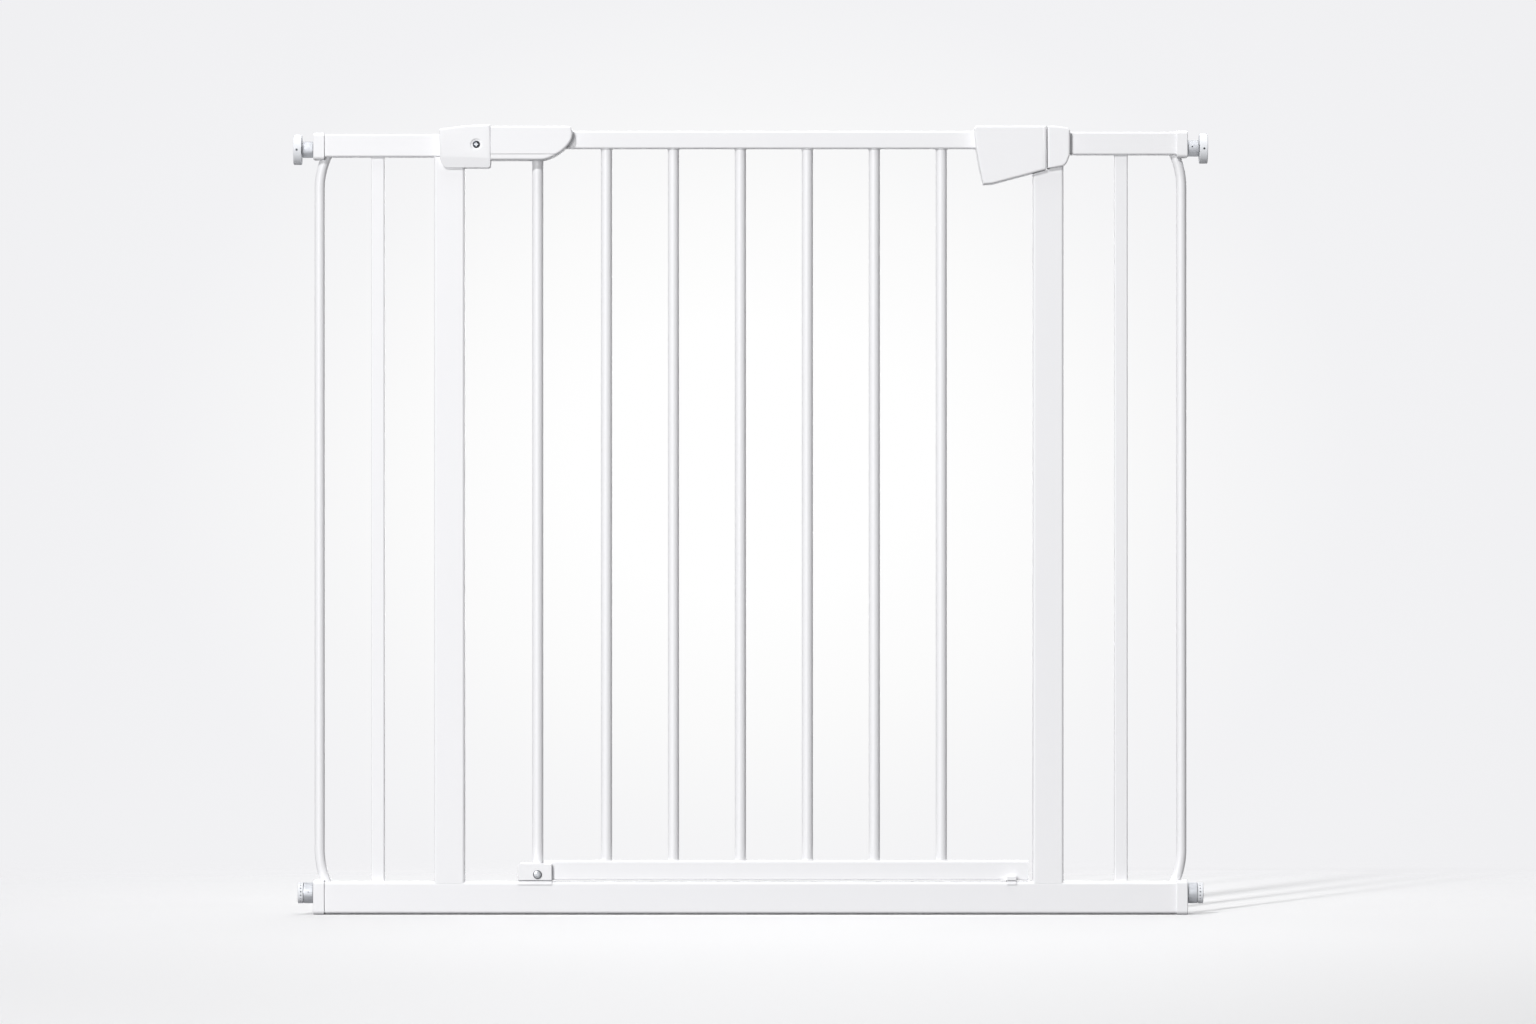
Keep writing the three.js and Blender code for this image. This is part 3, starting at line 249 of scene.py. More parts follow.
def outline(corners, inset=0.0, steps=6):
    """Points of a closed, anticlockwise outline of (u, v, radius) corners, set in by inset all round."""
    count = len(corners)
    points = []
    for i, (u, v, radius) in enumerate(corners):
        before = Vector((u, v)) - Vector(corners[i - 1][:2])
        after = Vector(corners[(i + 1) % count][:2]) - Vector((u, v))
        before.normalize()
        after.normalize()
        turn = math.atan2(before.cross(after), before.dot(after))
        inward = Vector((-before.y, before.x)) + Vector((-after.y, after.x))
        corner = Vector((u, v)) + inward * (inset / max(1e-9, 1 + before.dot(after)))
        if not radius:
            points.append(corner)
            continue
        bend = max(radius - math.copysign(inset, turn), 0)
        start = corner - before * (bend * abs(math.tan(turn / 2)))
        side = Vector((-before.y, before.x)) * math.copysign(bend, turn)
        centre = start + side
        points += [centre + Matrix.Rotation(turn * k / steps, 2) @ -side for k in range(steps + 1)]
    return points


def place(u, v, along, axis):
    """A point from its place across, up and along an axis."""
    return {"X": (along, u, v), "Y": (u, along, v), "Z": (u, v, along)}[axis]


def loft(name, loops, closed_ends=True):
    """Joins loops of equally many points into a skin, with a face over each end."""
    size = len(loops[0])
    points = [p for loop in loops for p in loop]
    faces = []
    for ring in range(len(loops) - 1):
        for k in range(size):
            a, b = ring * size + k, ring * size + (k + 1) % size
            faces.append((a, b, b + size, a + size))
    if closed_ends:
        faces.append(tuple(range(size)))
        faces.append(tuple(range(len(points) - size, len(points))))
    return mesh_object(name, points, faces)


def slab(name, corners, axis, start, end, ease_start=0.0, ease_end=0.0, steps=6, rounds=6):
    """A solid with one outline along an axis, its two rims rounded over."""
    rings = []
    for at, ease, sign in ((start, ease_start, 1), (end, ease_end, -1)):
        angles = [math.pi / 2 * k / rounds for k in range(rounds + 1)] if ease else [0]
        part = [(ease * (1 - math.cos(a)), at + sign * ease * (1 - math.sin(a))) for a in angles]
        rings += reversed(part) if sign > 0 else part
    return loft(name, [
        [place(p.x, p.y, along, axis) for p in outline(corners, inset, steps)] for inset, along in rings
    ])


def rectangle(u0, v0, u1, v1, radius=0.0):
    """Corners of an upright rectangle with one corner radius."""
    return [(u0, v0, radius), (u1, v0, radius), (u1, v1, radius), (u0, v1, radius)]


def spans(lowest, highest, axis):
    """A box's section across an axis, then its two ends along the axis."""
    (x0, y0, z0), (x1, y1, z1) = lowest, highest
    return {"X": (y0, z0, y1, z1, x0, x1), "Y": (x0, z0, x1, z1, y0, y1), "Z": (x0, y0, x1, y1, z0, z1)}[axis]


def block(lowest, highest, radius=0.0, axis="Y"):
    """A box tool between two corners."""
    *sides, start, end = spans(lowest, highest, axis)
    return slab("Block", rectangle(*sides, radius), axis, start, end)


def circle(radius, sides):
    """Points of a circle about the origin, across and up."""
    angles = [2 * math.pi * k / sides for k in range(sides)]
    return [(radius * math.cos(a), radius * math.sin(a)) for a in angles]


def turned(name, profile, centre, axis, side=1, sides=48):
    """Turns a profile of (radius, distance) points about an axis through centre."""
    rings = []
    for radius, along in profile:
        ring = [place(u, v, side * along, axis) for u, v in circle(radius, sides)]
        rings.append([tuple(c + d for c, d in zip(centre, offset)) for offset in ring])
    if profile[0][0] > 0 or profile[-1][0] > 0:
        rings.append(rings[0])
    return loft(name, rings, closed_ends=False)


def rod(name, centre, axis, length, radius, sides=64):
    """A round bar or tool that starts at centre and runs along an axis."""
    return loft(name, [
        [Vector(centre) + Vector(place(u, v, along, axis)) for u, v in circle(radius, sides)]
        for along in (0, length)
    ])


def arc(cx, cy, radius, steps):
    """Points of a quarter round, from the side to the top."""
    angles = [math.radians(90 * k / steps) for k in range(steps + 1)]
    return [(cx + radius * math.cos(a), cy + radius * math.sin(a)) for a in angles]


def bezier(*anchors, steps):
    """Points of the curve that its anchors draw, without its first."""
    degree = len(anchors) - 1
    points = []
    for t in [k / steps for k in range(1, steps + 1)]:
        shares = [math.comb(degree, i) * (1 - t) ** (degree - i) * t**i for i in range(degree + 1)]
        points.append(tuple(sum(s * p[c] for s, p in zip(shares, anchors)) for c in (0, 1)))
    return points


def dressed_copy(node, edge):
    """A merged copy of a CAD node with its sharp edges rounded over."""
    made = bmesh.new()
    made.from_mesh(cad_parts[node].data)
    bmesh.ops.remove_doubles(made, verts=made.verts, dist=1e-6)
    bmesh.ops.dissolve_limit(made, angle_limit=math.radians(1), verts=made.verts, edges=made.edges)
    mesh = bpy.data.meshes.new(node)
    made.to_mesh(mesh)
    made.free()
    mesh.materials.clear()
    piece = link(node, mesh)
    ease = piece.modifiers.new("Eased edges", "BEVEL")
    ease.width = edge
    ease.segments = 3
    ease.limit_method = "ANGLE"
    ease.angle_limit = math.radians(50)
    ease.use_clamp_overlap = True
    return bake(piece)


def dress(piece, body, slot, *nodes, crease=40):
    """Shades a finished piece, gives it its material and its body, and hides the CAD nodes that it stands
    for.
    """
    smooth(piece, crease)
    piece.data.materials.clear()
    piece.data.materials.append(finish(slot))
    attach(piece, body)
    if nodes:
        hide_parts(*nodes)
    return piece


# ---- Geometry Nodes ----


def node_tree(name, sizes):
    """A tree that takes and gives geometry, with one named input for each size and the material."""
    tree = bpy.data.node_groups.new(name, "GeometryNodeTree")
    tree.interface.new_socket("Geometry", in_out="INPUT", socket_type="NodeSocketGeometry")
    tree.interface.new_socket("Geometry", in_out="OUTPUT", socket_type="NodeSocketGeometry")
    for label, value in sizes.items():
        kind = "NodeSocketInt" if isinstance(value, int) else "NodeSocketFloat"
        tree.interface.new_socket(label, in_out="INPUT", socket_type=kind).default_value = value
    tree.interface.new_socket("Material", in_out="INPUT", socket_type="NodeSocketMaterial")
    return tree, add(tree, "NodeGroupInput").outputs


def end_tree(tree, geometry, given):
    """Ends a tree in real geometry with its material."""
    real = add(tree, "GeometryNodeRealizeInstances", {"Geometry": geometry})
    painted = add(tree, "GeometryNodeSetMaterial", {"Geometry": real, "Material": given["Material"]})
    add(tree, "NodeGroupOutput", {"Geometry": painted})
    return tree


def run_tree(piece, tree, slot, values):
    """Runs a tree on a piece, with values for its named inputs, and keeps what it makes."""
    grower = piece.modifiers.new("Grow", "NODES")
    grower.node_group = tree
    values = {**values, "Material": finish(slot)}
    for item in tree.interface.items_tree:
        if item.in_out == "INPUT" and item.name in values:
            grower[item.identifier] = values[item.name]
    return bake(piece)


def grow(name, tree, slot, values, points=((0, 0, 0),), edges=()):
    """A piece that a tree makes from a mesh of points and edges."""
    mesh = bpy.data.meshes.new(name)
    mesh.from_pydata([tuple(p) for p in points], list(edges), [])
    return run_tree(link(name, mesh), tree, slot, values)


def round_stock(tree, path, radius, sides):
    """Round stock along a path, its ends closed."""
    ring = add(tree, "GeometryNodeCurvePrimitiveCircle", {"Resolution": sides, "Radius": radius})
    return add(tree, "GeometryNodeCurveToMesh", {"Curve": path, "Profile Curve": ring, "Fill Caps": True})


def row(tree, given, item, height):
    """Copies of an item in a row along X at one height, by the tree's own Count, First and Pitch."""
    places = add(tree, "GeometryNodeMeshLine", {
        "Count": given["Count"],
        "Start Location": add(tree, "ShaderNodeCombineXYZ", {"X": given["First"], "Z": height}),
        "Offset": add(tree, "ShaderNodeCombineXYZ", {"X": given["Pitch"]}),
    })
    return add(tree, "GeometryNodeInstanceOnPoints", {"Points": places, "Instance": item})


def swept_tree():
    """Round stock along each path of the mesh that goes in."""
    tree, given = node_tree("Round stock on a path", {"Radius": OUTER_BAR_RADIUS, "Sides": BAR_SIDES})
    path = add(tree, "GeometryNodeMeshToCurve", {"Mesh": given["Geometry"]})
    return end_tree(tree, round_stock(tree, path, given["Radius"], given["Sides"]), given)


def bar_row_tree():
    """Upright round bars at one pitch."""
    tree, given = node_tree("Row of bars", {
        "Count": 6, "First": 0.0, "Pitch": 66 * MM, "Bottom": 0.0, "Top": 0.7, "Radius": 5.5 * MM,
        "Sides": BAR_SIDES,
    })
    height = add(tree, "ShaderNodeMath", {0: given["Top"], 1: given["Bottom"]}, operation="SUBTRACT")
    top = add(tree, "ShaderNodeCombineXYZ", {"Z": height})
    spine = add(tree, "GeometryNodeCurvePrimitiveLine", {"End": top})
    bar = round_stock(tree, spine, given["Radius"], given["Sides"])
    return end_tree(tree, row(tree, given, bar, given["Bottom"]), given)


def bead_tree():
    """A painted-over weld bead along each seam of the mesh that goes in, a little uneven."""
    tree, given = node_tree("Weld bead", {
        "Radius": 1 * MM, "Step": 1 * MM, "Unevenness": 0.2 * MM, "Ripple": 3 * MM, "Seed": 7,
    })
    seam = add(tree, "GeometryNodeMeshToCurve", {"Mesh": given["Geometry"]})
    even = add(tree, "GeometryNodeResampleCurve", {"Curve": seam, "Length": given["Step"]}, mode="LENGTH")
    scale = add(tree, "ShaderNodeMath", {0: 1.0, 1: given["Ripple"]}, operation="DIVIDE")
    noise = add(tree, "ShaderNodeTexNoise", {
        "W": given["Seed"], "Scale": scale, "Detail": 1.0,
    }, noise_dimensions="4D").outputs["Color"]
    centred = add(tree, "ShaderNodeVectorMath", {0: noise, 1: (0.5, 0.5, 0.5)}, operation="SUBTRACT")
    shift = add(tree, "ShaderNodeVectorMath", {0: centred, "Scale": given["Unevenness"]}, operation="SCALE")
    moved = add(tree, "GeometryNodeSetPosition", {"Geometry": even, "Offset": shift})
    return end_tree(tree, round_stock(tree, moved, given["Radius"], 10), given)


def thread_tree():
    """A round rod with a flat-crested thread, along X from the start point."""
    tree, given = node_tree("Threaded rod", {
        "Start": 0.0, "Length": 78 * MM, "Height": 0.0, "Radius": 4 * MM, "Depth": 0.8 * MM, "Pitch": 3 * MM,
        "Around": 32, "Along": 300,
    })
    # A sheet as wide as one turn in radians is wound into a rod, sunk where the thread's groove runs.
    grid = add(tree, "GeometryNodeMeshGrid", {
        "Size X": 2 * math.pi, "Size Y": 1.0, "Vertices X": given["Around"], "Vertices Y": given["Along"],
    })
    at = add(tree, "ShaderNodeSeparateXYZ", {0: add(tree, "GeometryNodeInputPosition")})
    share = add(tree, "ShaderNodeMath", {0: at.outputs["Y"], 1: 0.5}, operation="ADD")
    along = add(tree, "ShaderNodeMath", {0: share, 1: given["Length"]}, operation="MULTIPLY")
    turns = add(tree, "ShaderNodeMath", {0: along, 1: given["Pitch"]}, operation="DIVIDE")
    around = add(tree, "ShaderNodeMath", {0: at.outputs["X"], 1: 2 * math.pi}, operation="DIVIDE")
    phase = add(tree, "ShaderNodeMath", {0: turns, 1: around}, operation="SUBTRACT")
    wave = add(tree, "ShaderNodeMath", {0: phase, 1: 0.5}, operation="PINGPONG")
    groove = add(tree, "ShaderNodeMapRange", {"Value": wave, 1: 0.16, 2: 0.34, 3: 0.0, 4: 1.0})
    sunk = add(tree, "ShaderNodeMath", {0: groove, 1: given["Depth"]}, operation="MULTIPLY")
    radius = add(tree, "ShaderNodeMath", {0: given["Radius"], 1: sunk}, operation="SUBTRACT")
    # The last ring at each end shrinks to a point, which closes the rod.
    centred = add(tree, "ShaderNodeMath", {0: at.outputs["Y"]}, operation="ABSOLUTE")
    inside = add(tree, "ShaderNodeMath", {0: centred, 1: 0.4999}, operation="LESS_THAN")
    closed = add(tree, "ShaderNodeMath", {0: radius, 1: inside}, operation="MULTIPLY")
    cosine = add(tree, "ShaderNodeMath", {0: at.outputs["X"]}, operation="COSINE")
    sine = add(tree, "ShaderNodeMath", {0: at.outputs["X"]}, operation="SINE")
    point = add(tree, "ShaderNodeCombineXYZ", {
        "X": add(tree, "ShaderNodeMath", {0: along, 1: given["Start"]}, operation="ADD"),
        "Y": add(tree, "ShaderNodeMath", {0: cosine, 1: closed}, operation="MULTIPLY"),
        "Z": add(tree, "ShaderNodeMath", {0: sine, 1: closed, 2: given["Height"]}, operation="MULTIPLY_ADD"),
    })
    wound = add(tree, "GeometryNodeSetPosition", {"Geometry": grid, "Position": point})
    sealed = add(tree, "GeometryNodeMergeByDistance", {"Geometry": wound, "Distance": 1e-6})
    return end_tree(tree, sealed, given)


def coil_tree():
    """A round-wire coil spring that stands on the origin."""
    tree, given = node_tree("Coil spring", {
        "Turns": 4.0, "Radius": 8 * MM, "Height": 10 * MM, "Wire": 1.6 * MM,
    })
    spiral = add(tree, "GeometryNodeCurveSpiral", {
        "Resolution": 40, "Rotations": given["Turns"], "Start Radius": given["Radius"],
        "End Radius": given["Radius"], "Height": given["Height"],
    })
    half = add(tree, "ShaderNodeMath", {0: given["Wire"], 1: 0.5}, operation="MULTIPLY")
    return end_tree(tree, round_stock(tree, spiral, half, 14), given)


def rib_tree():
    """Ribs in a row along X, on the body that goes in."""
    tree, given = node_tree("Row of ribs", {
        "Count": 6, "First": 0.0, "Pitch": 2 * MM, "Height": 0.0, "Length": 10 * MM, "Rib": 0.4 * MM,
    })
    rib = add(tree, "GeometryNodeMeshCylinder", {
        "Vertices": 16, "Side Segments": 1, "Radius": given["Rib"], "Depth": given["Length"],
    })
    laid = add(tree, "GeometryNodeTransform", {"Geometry": rib, "Rotation": (math.pi / 2, 0, 0)})
    ribs = row(tree, given, laid, given["Height"])
    whole = add(tree, "GeometryNodeJoinGeometry", {0: [given["Geometry"], ribs]})
    return end_tree(tree, whole, given)


def screw_tree():
    """A domed screw head with a cross recess, and its shank; the head faces -Z from the origin."""
    tree, given = node_tree("Cross-head screw", {
        "Head": 7 * MM, "Head height": 1.6 * MM, "Dome": 0.7 * MM, "Shank": 3.6 * MM, "Shank length": 14 * MM,
        "Recess": 4 * MM, "Recess width": 0.9 * MM, "Recess depth": 1.1 * MM, "Bright to": 0.5,
    })
    halved = {
        label: add(tree, "ShaderNodeMath", {0: given[label], 1: 0.5}, operation="MULTIPLY")
        for label in ("Head", "Head height", "Shank", "Shank length")
    }
    head = add(tree, "GeometryNodeMeshCylinder", {
        "Vertices": 42, "Side Segments": 1, "Fill Segments": 8, "Radius": halved["Head"],
        "Depth": given["Head height"],
    })
    at = add(tree, "ShaderNodeSeparateXYZ", {0: add(tree, "GeometryNodeInputPosition")})
    flat = add(tree, "ShaderNodeCombineXYZ", {"X": at.outputs["X"], "Y": at.outputs["Y"]})
    out = add(tree, "ShaderNodeVectorMath", {0: flat}, operation="LENGTH").outputs["Value"]
    share = add(tree, "ShaderNodeMath", {0: out, 1: halved["Head"]}, operation="DIVIDE")
    # How far out each point of the head lies, as a share of the middle that the finish paints bright as a
    # highlight; the finish reads it.
    ring = add(tree, "ShaderNodeMath", {0: share, 1: given["Bright to"]}, operation="DIVIDE")
    marked = add(tree, "GeometryNodeStoreNamedAttribute", {
        "Geometry": head, "Name": "ring", "Value": ring,
    }, data_type="FLOAT", domain="POINT")
    power = add(tree, "ShaderNodeMath", {0: share, 1: 3.0}, operation="POWER")
    drop = add(tree, "ShaderNodeMath", {0: power, 1: given["Dome"]}, operation="MULTIPLY")
    below = add(tree, "ShaderNodeMath", {0: at.outputs["Z"], 1: 0.0}, operation="LESS_THAN")
    domed = add(tree, "GeometryNodeSetPosition", {
        "Geometry": marked, "Selection": below, "Offset": add(tree, "ShaderNodeCombineXYZ", {"Z": drop}),
    })
    up = halved["Head height"]
    seated = add(tree, "GeometryNodeTransform", {
        "Geometry": domed, "Translation": add(tree, "ShaderNodeCombineXYZ", {"Z": up}),
    })
    depth = add(tree, "ShaderNodeMath", {0: given["Recess depth"], 1: 2.0}, operation="MULTIPLY")
    arms = []
    for x, y in (("Recess", "Recess width"), ("Recess width", "Recess")):
        size = add(tree, "ShaderNodeCombineXYZ", {"X": given[x], "Y": given[y], "Z": depth})
        arms.append(add(tree, "GeometryNodeMeshCube", {"Size": size}))
    recessed = add(tree, "GeometryNodeMeshBoolean", {
        "Mesh 1": seated, "Mesh 2": arms,
    }, operation="DIFFERENCE", solver="MANIFOLD")
    shank = add(tree, "GeometryNodeMeshCylinder", {
        "Vertices": 24, "Side Segments": 1, "Radius": halved["Shank"], "Depth": given["Shank length"],
    })
    past = add(tree, "ShaderNodeMath", {0: halved["Shank length"], 1: up}, operation="ADD")
    set_in = add(tree, "GeometryNodeTransform", {
        "Geometry": shank, "Translation": add(tree, "ShaderNodeCombineXYZ", {"Z": past}),
    })
    return end_tree(tree, add(tree, "GeometryNodeJoinGeometry", {0: [recessed, set_in]}), given)


def flute_tree():
    """Fine flutes cut in the widest part of the round body that goes in, which lies along X."""
    tree, given = node_tree("Fluted nut", {
        "Flutes": 48, "Height": 0.0, "From radius": 7.5 * MM, "Depth": 0.3 * MM,
    })
    at = add(tree, "ShaderNodeSeparateXYZ", {0: add(tree, "GeometryNodeInputPosition")})
    up = add(tree, "ShaderNodeMath", {0: at.outputs["Z"], 1: given["Height"]}, operation="SUBTRACT")
    out = add(tree, "ShaderNodeCombineXYZ", {"Y": at.outputs["Y"], "Z": up})
    reach = add(tree, "ShaderNodeVectorMath", {0: out}, operation="LENGTH").outputs["Value"]
    wide = add(tree, "ShaderNodeMath", {0: reach, 1: given["From radius"]}, operation="GREATER_THAN")
    angle = add(tree, "ShaderNodeMath", {0: up, 1: at.outputs["Y"]}, operation="ARCTAN2")
    phase = add(tree, "ShaderNodeMath", {0: angle, 1: given["Flutes"]}, operation="MULTIPLY")
    wave = add(tree, "ShaderNodeMath", {0: phase}, operation="COSINE")
    sunk = add(tree, "ShaderNodeMath", {0: wave, 1: 0.5, 2: -0.5}, operation="MULTIPLY_ADD")
    depth = add(tree, "ShaderNodeMath", {0: sunk, 1: given["Depth"]}, operation="MULTIPLY")
    way = add(tree, "ShaderNodeVectorMath", {0: out}, operation="NORMALIZE")
    shift = add(tree, "ShaderNodeVectorMath", {0: way, "Scale": depth}, operation="SCALE")
    cut = add(tree, "GeometryNodeSetPosition", {
        "Geometry": given["Geometry"], "Selection": wide, "Offset": shift,
    })
    return end_tree(tree, cut, given)


# ---- Finishes ----


def emptied(owner):
    """The node tree of a material or a world, turned on and emptied."""
    owner.use_nodes = True
    owner.node_tree.nodes.clear()
    return owner.node_tree


def grain(tree, size, detail=2.0, stretch=(1, 1, 1)):
    """Noise with features of one real size, in metres, on the piece's own coordinates."""
    at = add(tree, "ShaderNodeTexCoord").outputs["Object"]
    placed = add(tree, "ShaderNodeMapping", {"Vector": at, "Scale": tuple(s / size for s in stretch)})
    return add(tree, "ShaderNodeTexNoise", {"Vector": placed, "Scale": 1.0, "Detail": detail})


def coat(name, tones, drift, roughness, waver, skin=None, metallic=0.0, cloudy=False):
    """A material, with its tree, shader and colour for anything more that it gets.

    Its colour drifts between two tones over one grain (drift), its roughness between two values over
    another (waver), and skin gives its relief as (strength, depth, grain). A cloudy one drifts harder.
    """
    material = bpy.data.materials.new(name)
    tree = emptied(material)
    factor = grain(tree, *drift)
    if cloudy:
        factor = add(tree, "ShaderNodeMapRange", {0: factor, 1: 0.3, 2: 0.7, 3: 0, 4: 1})
    tone = add(tree, "ShaderNodeMix", {0: factor, 6: tones[0], 7: tones[1]}, data_type="RGBA").outputs[2]
    rough = add(tree, "ShaderNodeMapRange", {
        0: grain(tree, *waver), 1: 0.3, 2: 0.7, 3: roughness[0], 4: roughness[1],
    })
    shader = add(tree, "ShaderNodeBsdfPrincipled", {
        "Base Color": tone, "Roughness": rough, "Metallic": metallic,
    })
    if skin:
        strength, depth, relief = skin
        height = grain(tree, *relief)
        bump = add(tree, "ShaderNodeBump", {"Strength": strength, "Distance": depth, "Height": height})
        tree.links.new(bump.outputs[0], shader.inputs["Normal"])
    add(tree, "ShaderNodeOutputMaterial", {"Surface": shader})
    return material, tree, shader, tone


def scaled(colour, share):
    """A colour with its channels scaled, and none past white."""
    return tuple(min(1, c * share) for c in colour[:3]) + (1.0,)


def powder_coat(colour):
    """Satin powder coat: an orange-peel skin softens the highlights along the tubes."""
    # Orange peel of about 1.5 mm, as sprayed powder flows out: it breaks up the long reflections.
    peel = (0.06, 0.2 * MM, (1.5 * MM,))
    tones = (scaled(colour, 0.985), colour)
    return coat("White satin powder coat", tones, (180 * MM,), (0.38, 0.46), (9 * MM,), peel)[0]


def moulded_white(colour):
    """Moulded white plastic: a fine eroded texture keeps its broad faces even and soft."""
    # Spark-eroded grain, coarsened from about 0.1 mm to 0.6 mm so that it survives at this size.
    erosion = (0.08, 0.1 * MM, (0.6 * MM, 3.0))
    tones = (scaled(colour, 0.985), colour)
    return coat("White moulded plastic", tones, (60 * MM,), (0.44, 0.52), (4 * MM,), erosion)[0]


def bearing_white(colour):
    """Acetal: milky, slightly waxy bearing plastic with a dull sheen."""
    return coat("Natural acetal", (scaled(colour, 0.97), colour), (12 * MM,), (0.5, 0.6), (3 * MM,))[0]


def pad_white(colour):
    """Soft white rubber: dull, a touch greyer and cooler than the paint beside it."""
    skin = (0.1, 0.1 * MM, (0.8 * MM, 3.0))
    tones = (scaled(colour, 0.97), colour)
    return coat("White pad rubber", tones, (14 * MM,), (0.7, 0.8), (3 * MM,), skin)[0]


def zinc_plate(colour):
    """Dull zinc plating: cloudy grey metal that shows a soft light band and a dark underside."""
    # Plating crystals, coarsened from hundredths of a millimetre to 0.5 mm.
    crystals = (0.12, 0.1 * MM, (0.5 * MM, 3.0))
    tones = (scaled(colour, 0.86), colour)
    clouds, polish = (2.5 * MM, 4.0), (1.2 * MM, 3.0)
    return coat("Dull zinc plating", tones, clouds, (0.42, 0.56), polish, crystals, 1.0, cloudy=True)[0]


def drawn_wire(colour):
    """Drawn spring wire: bright steel with faint die lines and an oily, darker film."""
    tones = (scaled(colour, 0.6), colour)
    die_lines = (0.8 * MM, 2.0, (1, 1, 6))
    return coat("Drawn spring steel", tones, (1.5 * MM, 3.0), (0.22, 0.38), die_lines, metallic=1.0)[0]


def black_oxide(colour):
    """Black-oxide steel with a painted highlight: the middle of each head round the recess is painted bright
    steel.
    """
    tones = (colour, scaled(colour, 1.8))
    material, tree, shader, black = coat(
        "Black oxide steel", tones, (1.2 * MM, 3.0), (0.28, 0.45), (0.7 * MM,), metallic=1.0,
    )
    # Painted highlight: a head is bright steel inside its stored ring share and black oxide beyond it.
    ring = add(tree, "ShaderNodeAttribute", attribute_name="ring").outputs["Fac"]
    highlight_mask = add(tree, "ShaderNodeMapRange", {0: ring, 1: 0.8, 2: 1.05, 3: 1, 4: 0})
    bright = add(tree, "ShaderNodeMix", {0: highlight_mask, 6: black, 7: linear("A4A6A9")}, data_type="RGBA")
    tree.links.new(bright.outputs[2], shader.inputs["Base Color"])
    return material


FINISHES = {
    "painted_steel": (powder_coat, "paint_colour"),
    "moulded_plastic": (moulded_white, "plastic_colour"),
    "bearing_plastic": (bearing_white, "bearing_colour"),
    "pad_rubber": (pad_white, "pad_colour"),
    "plated_steel": (zinc_plate, "zinc_colour"),
    "spring_steel": (drawn_wire, "spring_colour"),
    "dark_steel": (black_oxide, "screw_colour"),
}
made_finishes = {}


def finish(slot):
    """The material of one of the record's slots, made once."""
    if slot not in made_finishes:
        make, colour = FINISHES[slot]
        made_finishes[slot] = make((*getattr(bpy.context.scene.pet_gate, colour), 1.0))
    return made_finishes[slot]


def colour_setting(name, description, hex_colour):
    """A colour of the settings, from its sRGB hex value."""
    shade = linear(hex_colour)[:3]
    return FloatVectorProperty(
        name=name, description=description, subtype="COLOR", size=3, min=0, max=1, default=shade,
    )


def length_setting(name, description, metres):
    """A length of the settings."""
    return FloatProperty(
        name=name, description=description, subtype="DISTANCE", unit="LENGTH", min=0, precision=5,
        default=metres,
    )


def count_setting(name, description, count, least):
    """A whole number of the settings."""
    return IntProperty(name=name, description=description, default=count, min=least)


class GateSettings(PropertyGroup):
    """Sizes and colours of the dressed gate; its overall sizes come from the CAD frame."""

    paint_colour: colour_setting("Paint", "Powder coat on the tubes", "F4F4F6")
    plastic_colour: colour_setting("Mouldings", "White plastic mouldings", "F5F5F7")
    bearing_colour: colour_setting("Bearings", "Acetal bush and collar", "E4E5E6")
    pad_colour: colour_setting("Pads", "Rubber wall pads", "ECEEF2")
    zinc_colour: colour_setting("Zinc", "Plated nuts, spindles, pin and bolt", "AEB0B4")
    spring_colour: colour_setting("Springs", "Spring wire", "8D9196")
    screw_colour: colour_setting("Screws", "Dark screws", "2E3034")
    easing: length_setting("Moulding edge", "Rounding of the mouldings' long edges", 2 * MM)
    bead: length_setting("Weld bead", "Radius of the weld beads under the paint", 0.9 * MM)
    bead_unevenness: length_setting("Bead unevenness", "How far a weld bead wanders", 0.25 * MM)
    thread_pitch: length_setting("Thread pitch", "Pitch of the spindles", 3 * MM)
    thread_depth: length_setting("Thread depth", "Depth of the spindles' thread", 0.7 * MM)
    flute_depth: length_setting("Flute depth", "Depth of the flutes on the nuts", 0.07 * MM)
    flutes: count_setting("Flutes", "Flutes round each nut", 72, 8)
    closing_turns: count_setting("Closing spring turns", "Turns of the closing spring", 4, 2)
    button_turns: count_setting("Button spring turns", "Turns of the button spring", 5, 2)
    ribs: count_setting("Button ribs", "Grip ribs across the thumb button", 5, 1)


class PieceOperator(Operator):
    """Shared options of the operators that build pieces"""

    bl_options = {"REGISTER", "UNDO"}


# ---- Frame ----


def tube(name, node, axis, corner, wall):
    """A rounded rectangular tube that fills a CAD node's box."""
    u0, v0, u1, v1, start, end = spans(low(node), high(node), axis)
    outer = slab(name, rectangle(u0, v0, u1, v1, corner), axis, start, end, steps=8)
    bore = rectangle(u0 + wall, v0 + wall, u1 - wall, v1 - wall, max(corner - wall, 0.4 * MM))
    return carve(outer, cut=[slab("Bore", bore, axis, start - wall, end + wall, steps=4)])


def tube_space(node, axis, start, end, corner, steps=6):
    """Room for a tube along an axis, a fit wider all round than its CAD node."""
    u0, v0, u1, v1, _, _ = spans(low(node), high(node), axis)
    corners = rectangle(u0 - FIT, v0 - FIT, u1 + FIT, v1 + FIT, corner)
    return slab("Tube space", corners, axis, start, end, steps=steps)


def bottom_rail_space():
    """Room for the bottom rail in what stands on it."""
    start, end = low("bottom_rail").x - FIT, high("bottom_rail").x + FIT
    return tube_space("bottom_rail", "X", start, end, RAIL_CORNER + FIT / 2, 8)


def handle_slope():
    """The slanted part of the handle's underside: its two ends."""
    left, bottom, right = low("handle_front").x, low("handle_front").z, high("handle_front").x
    return (left + HANDLE_TOE, bottom + HANDLE_TOE_RISE), (right, bottom + HANDLE_RISE)


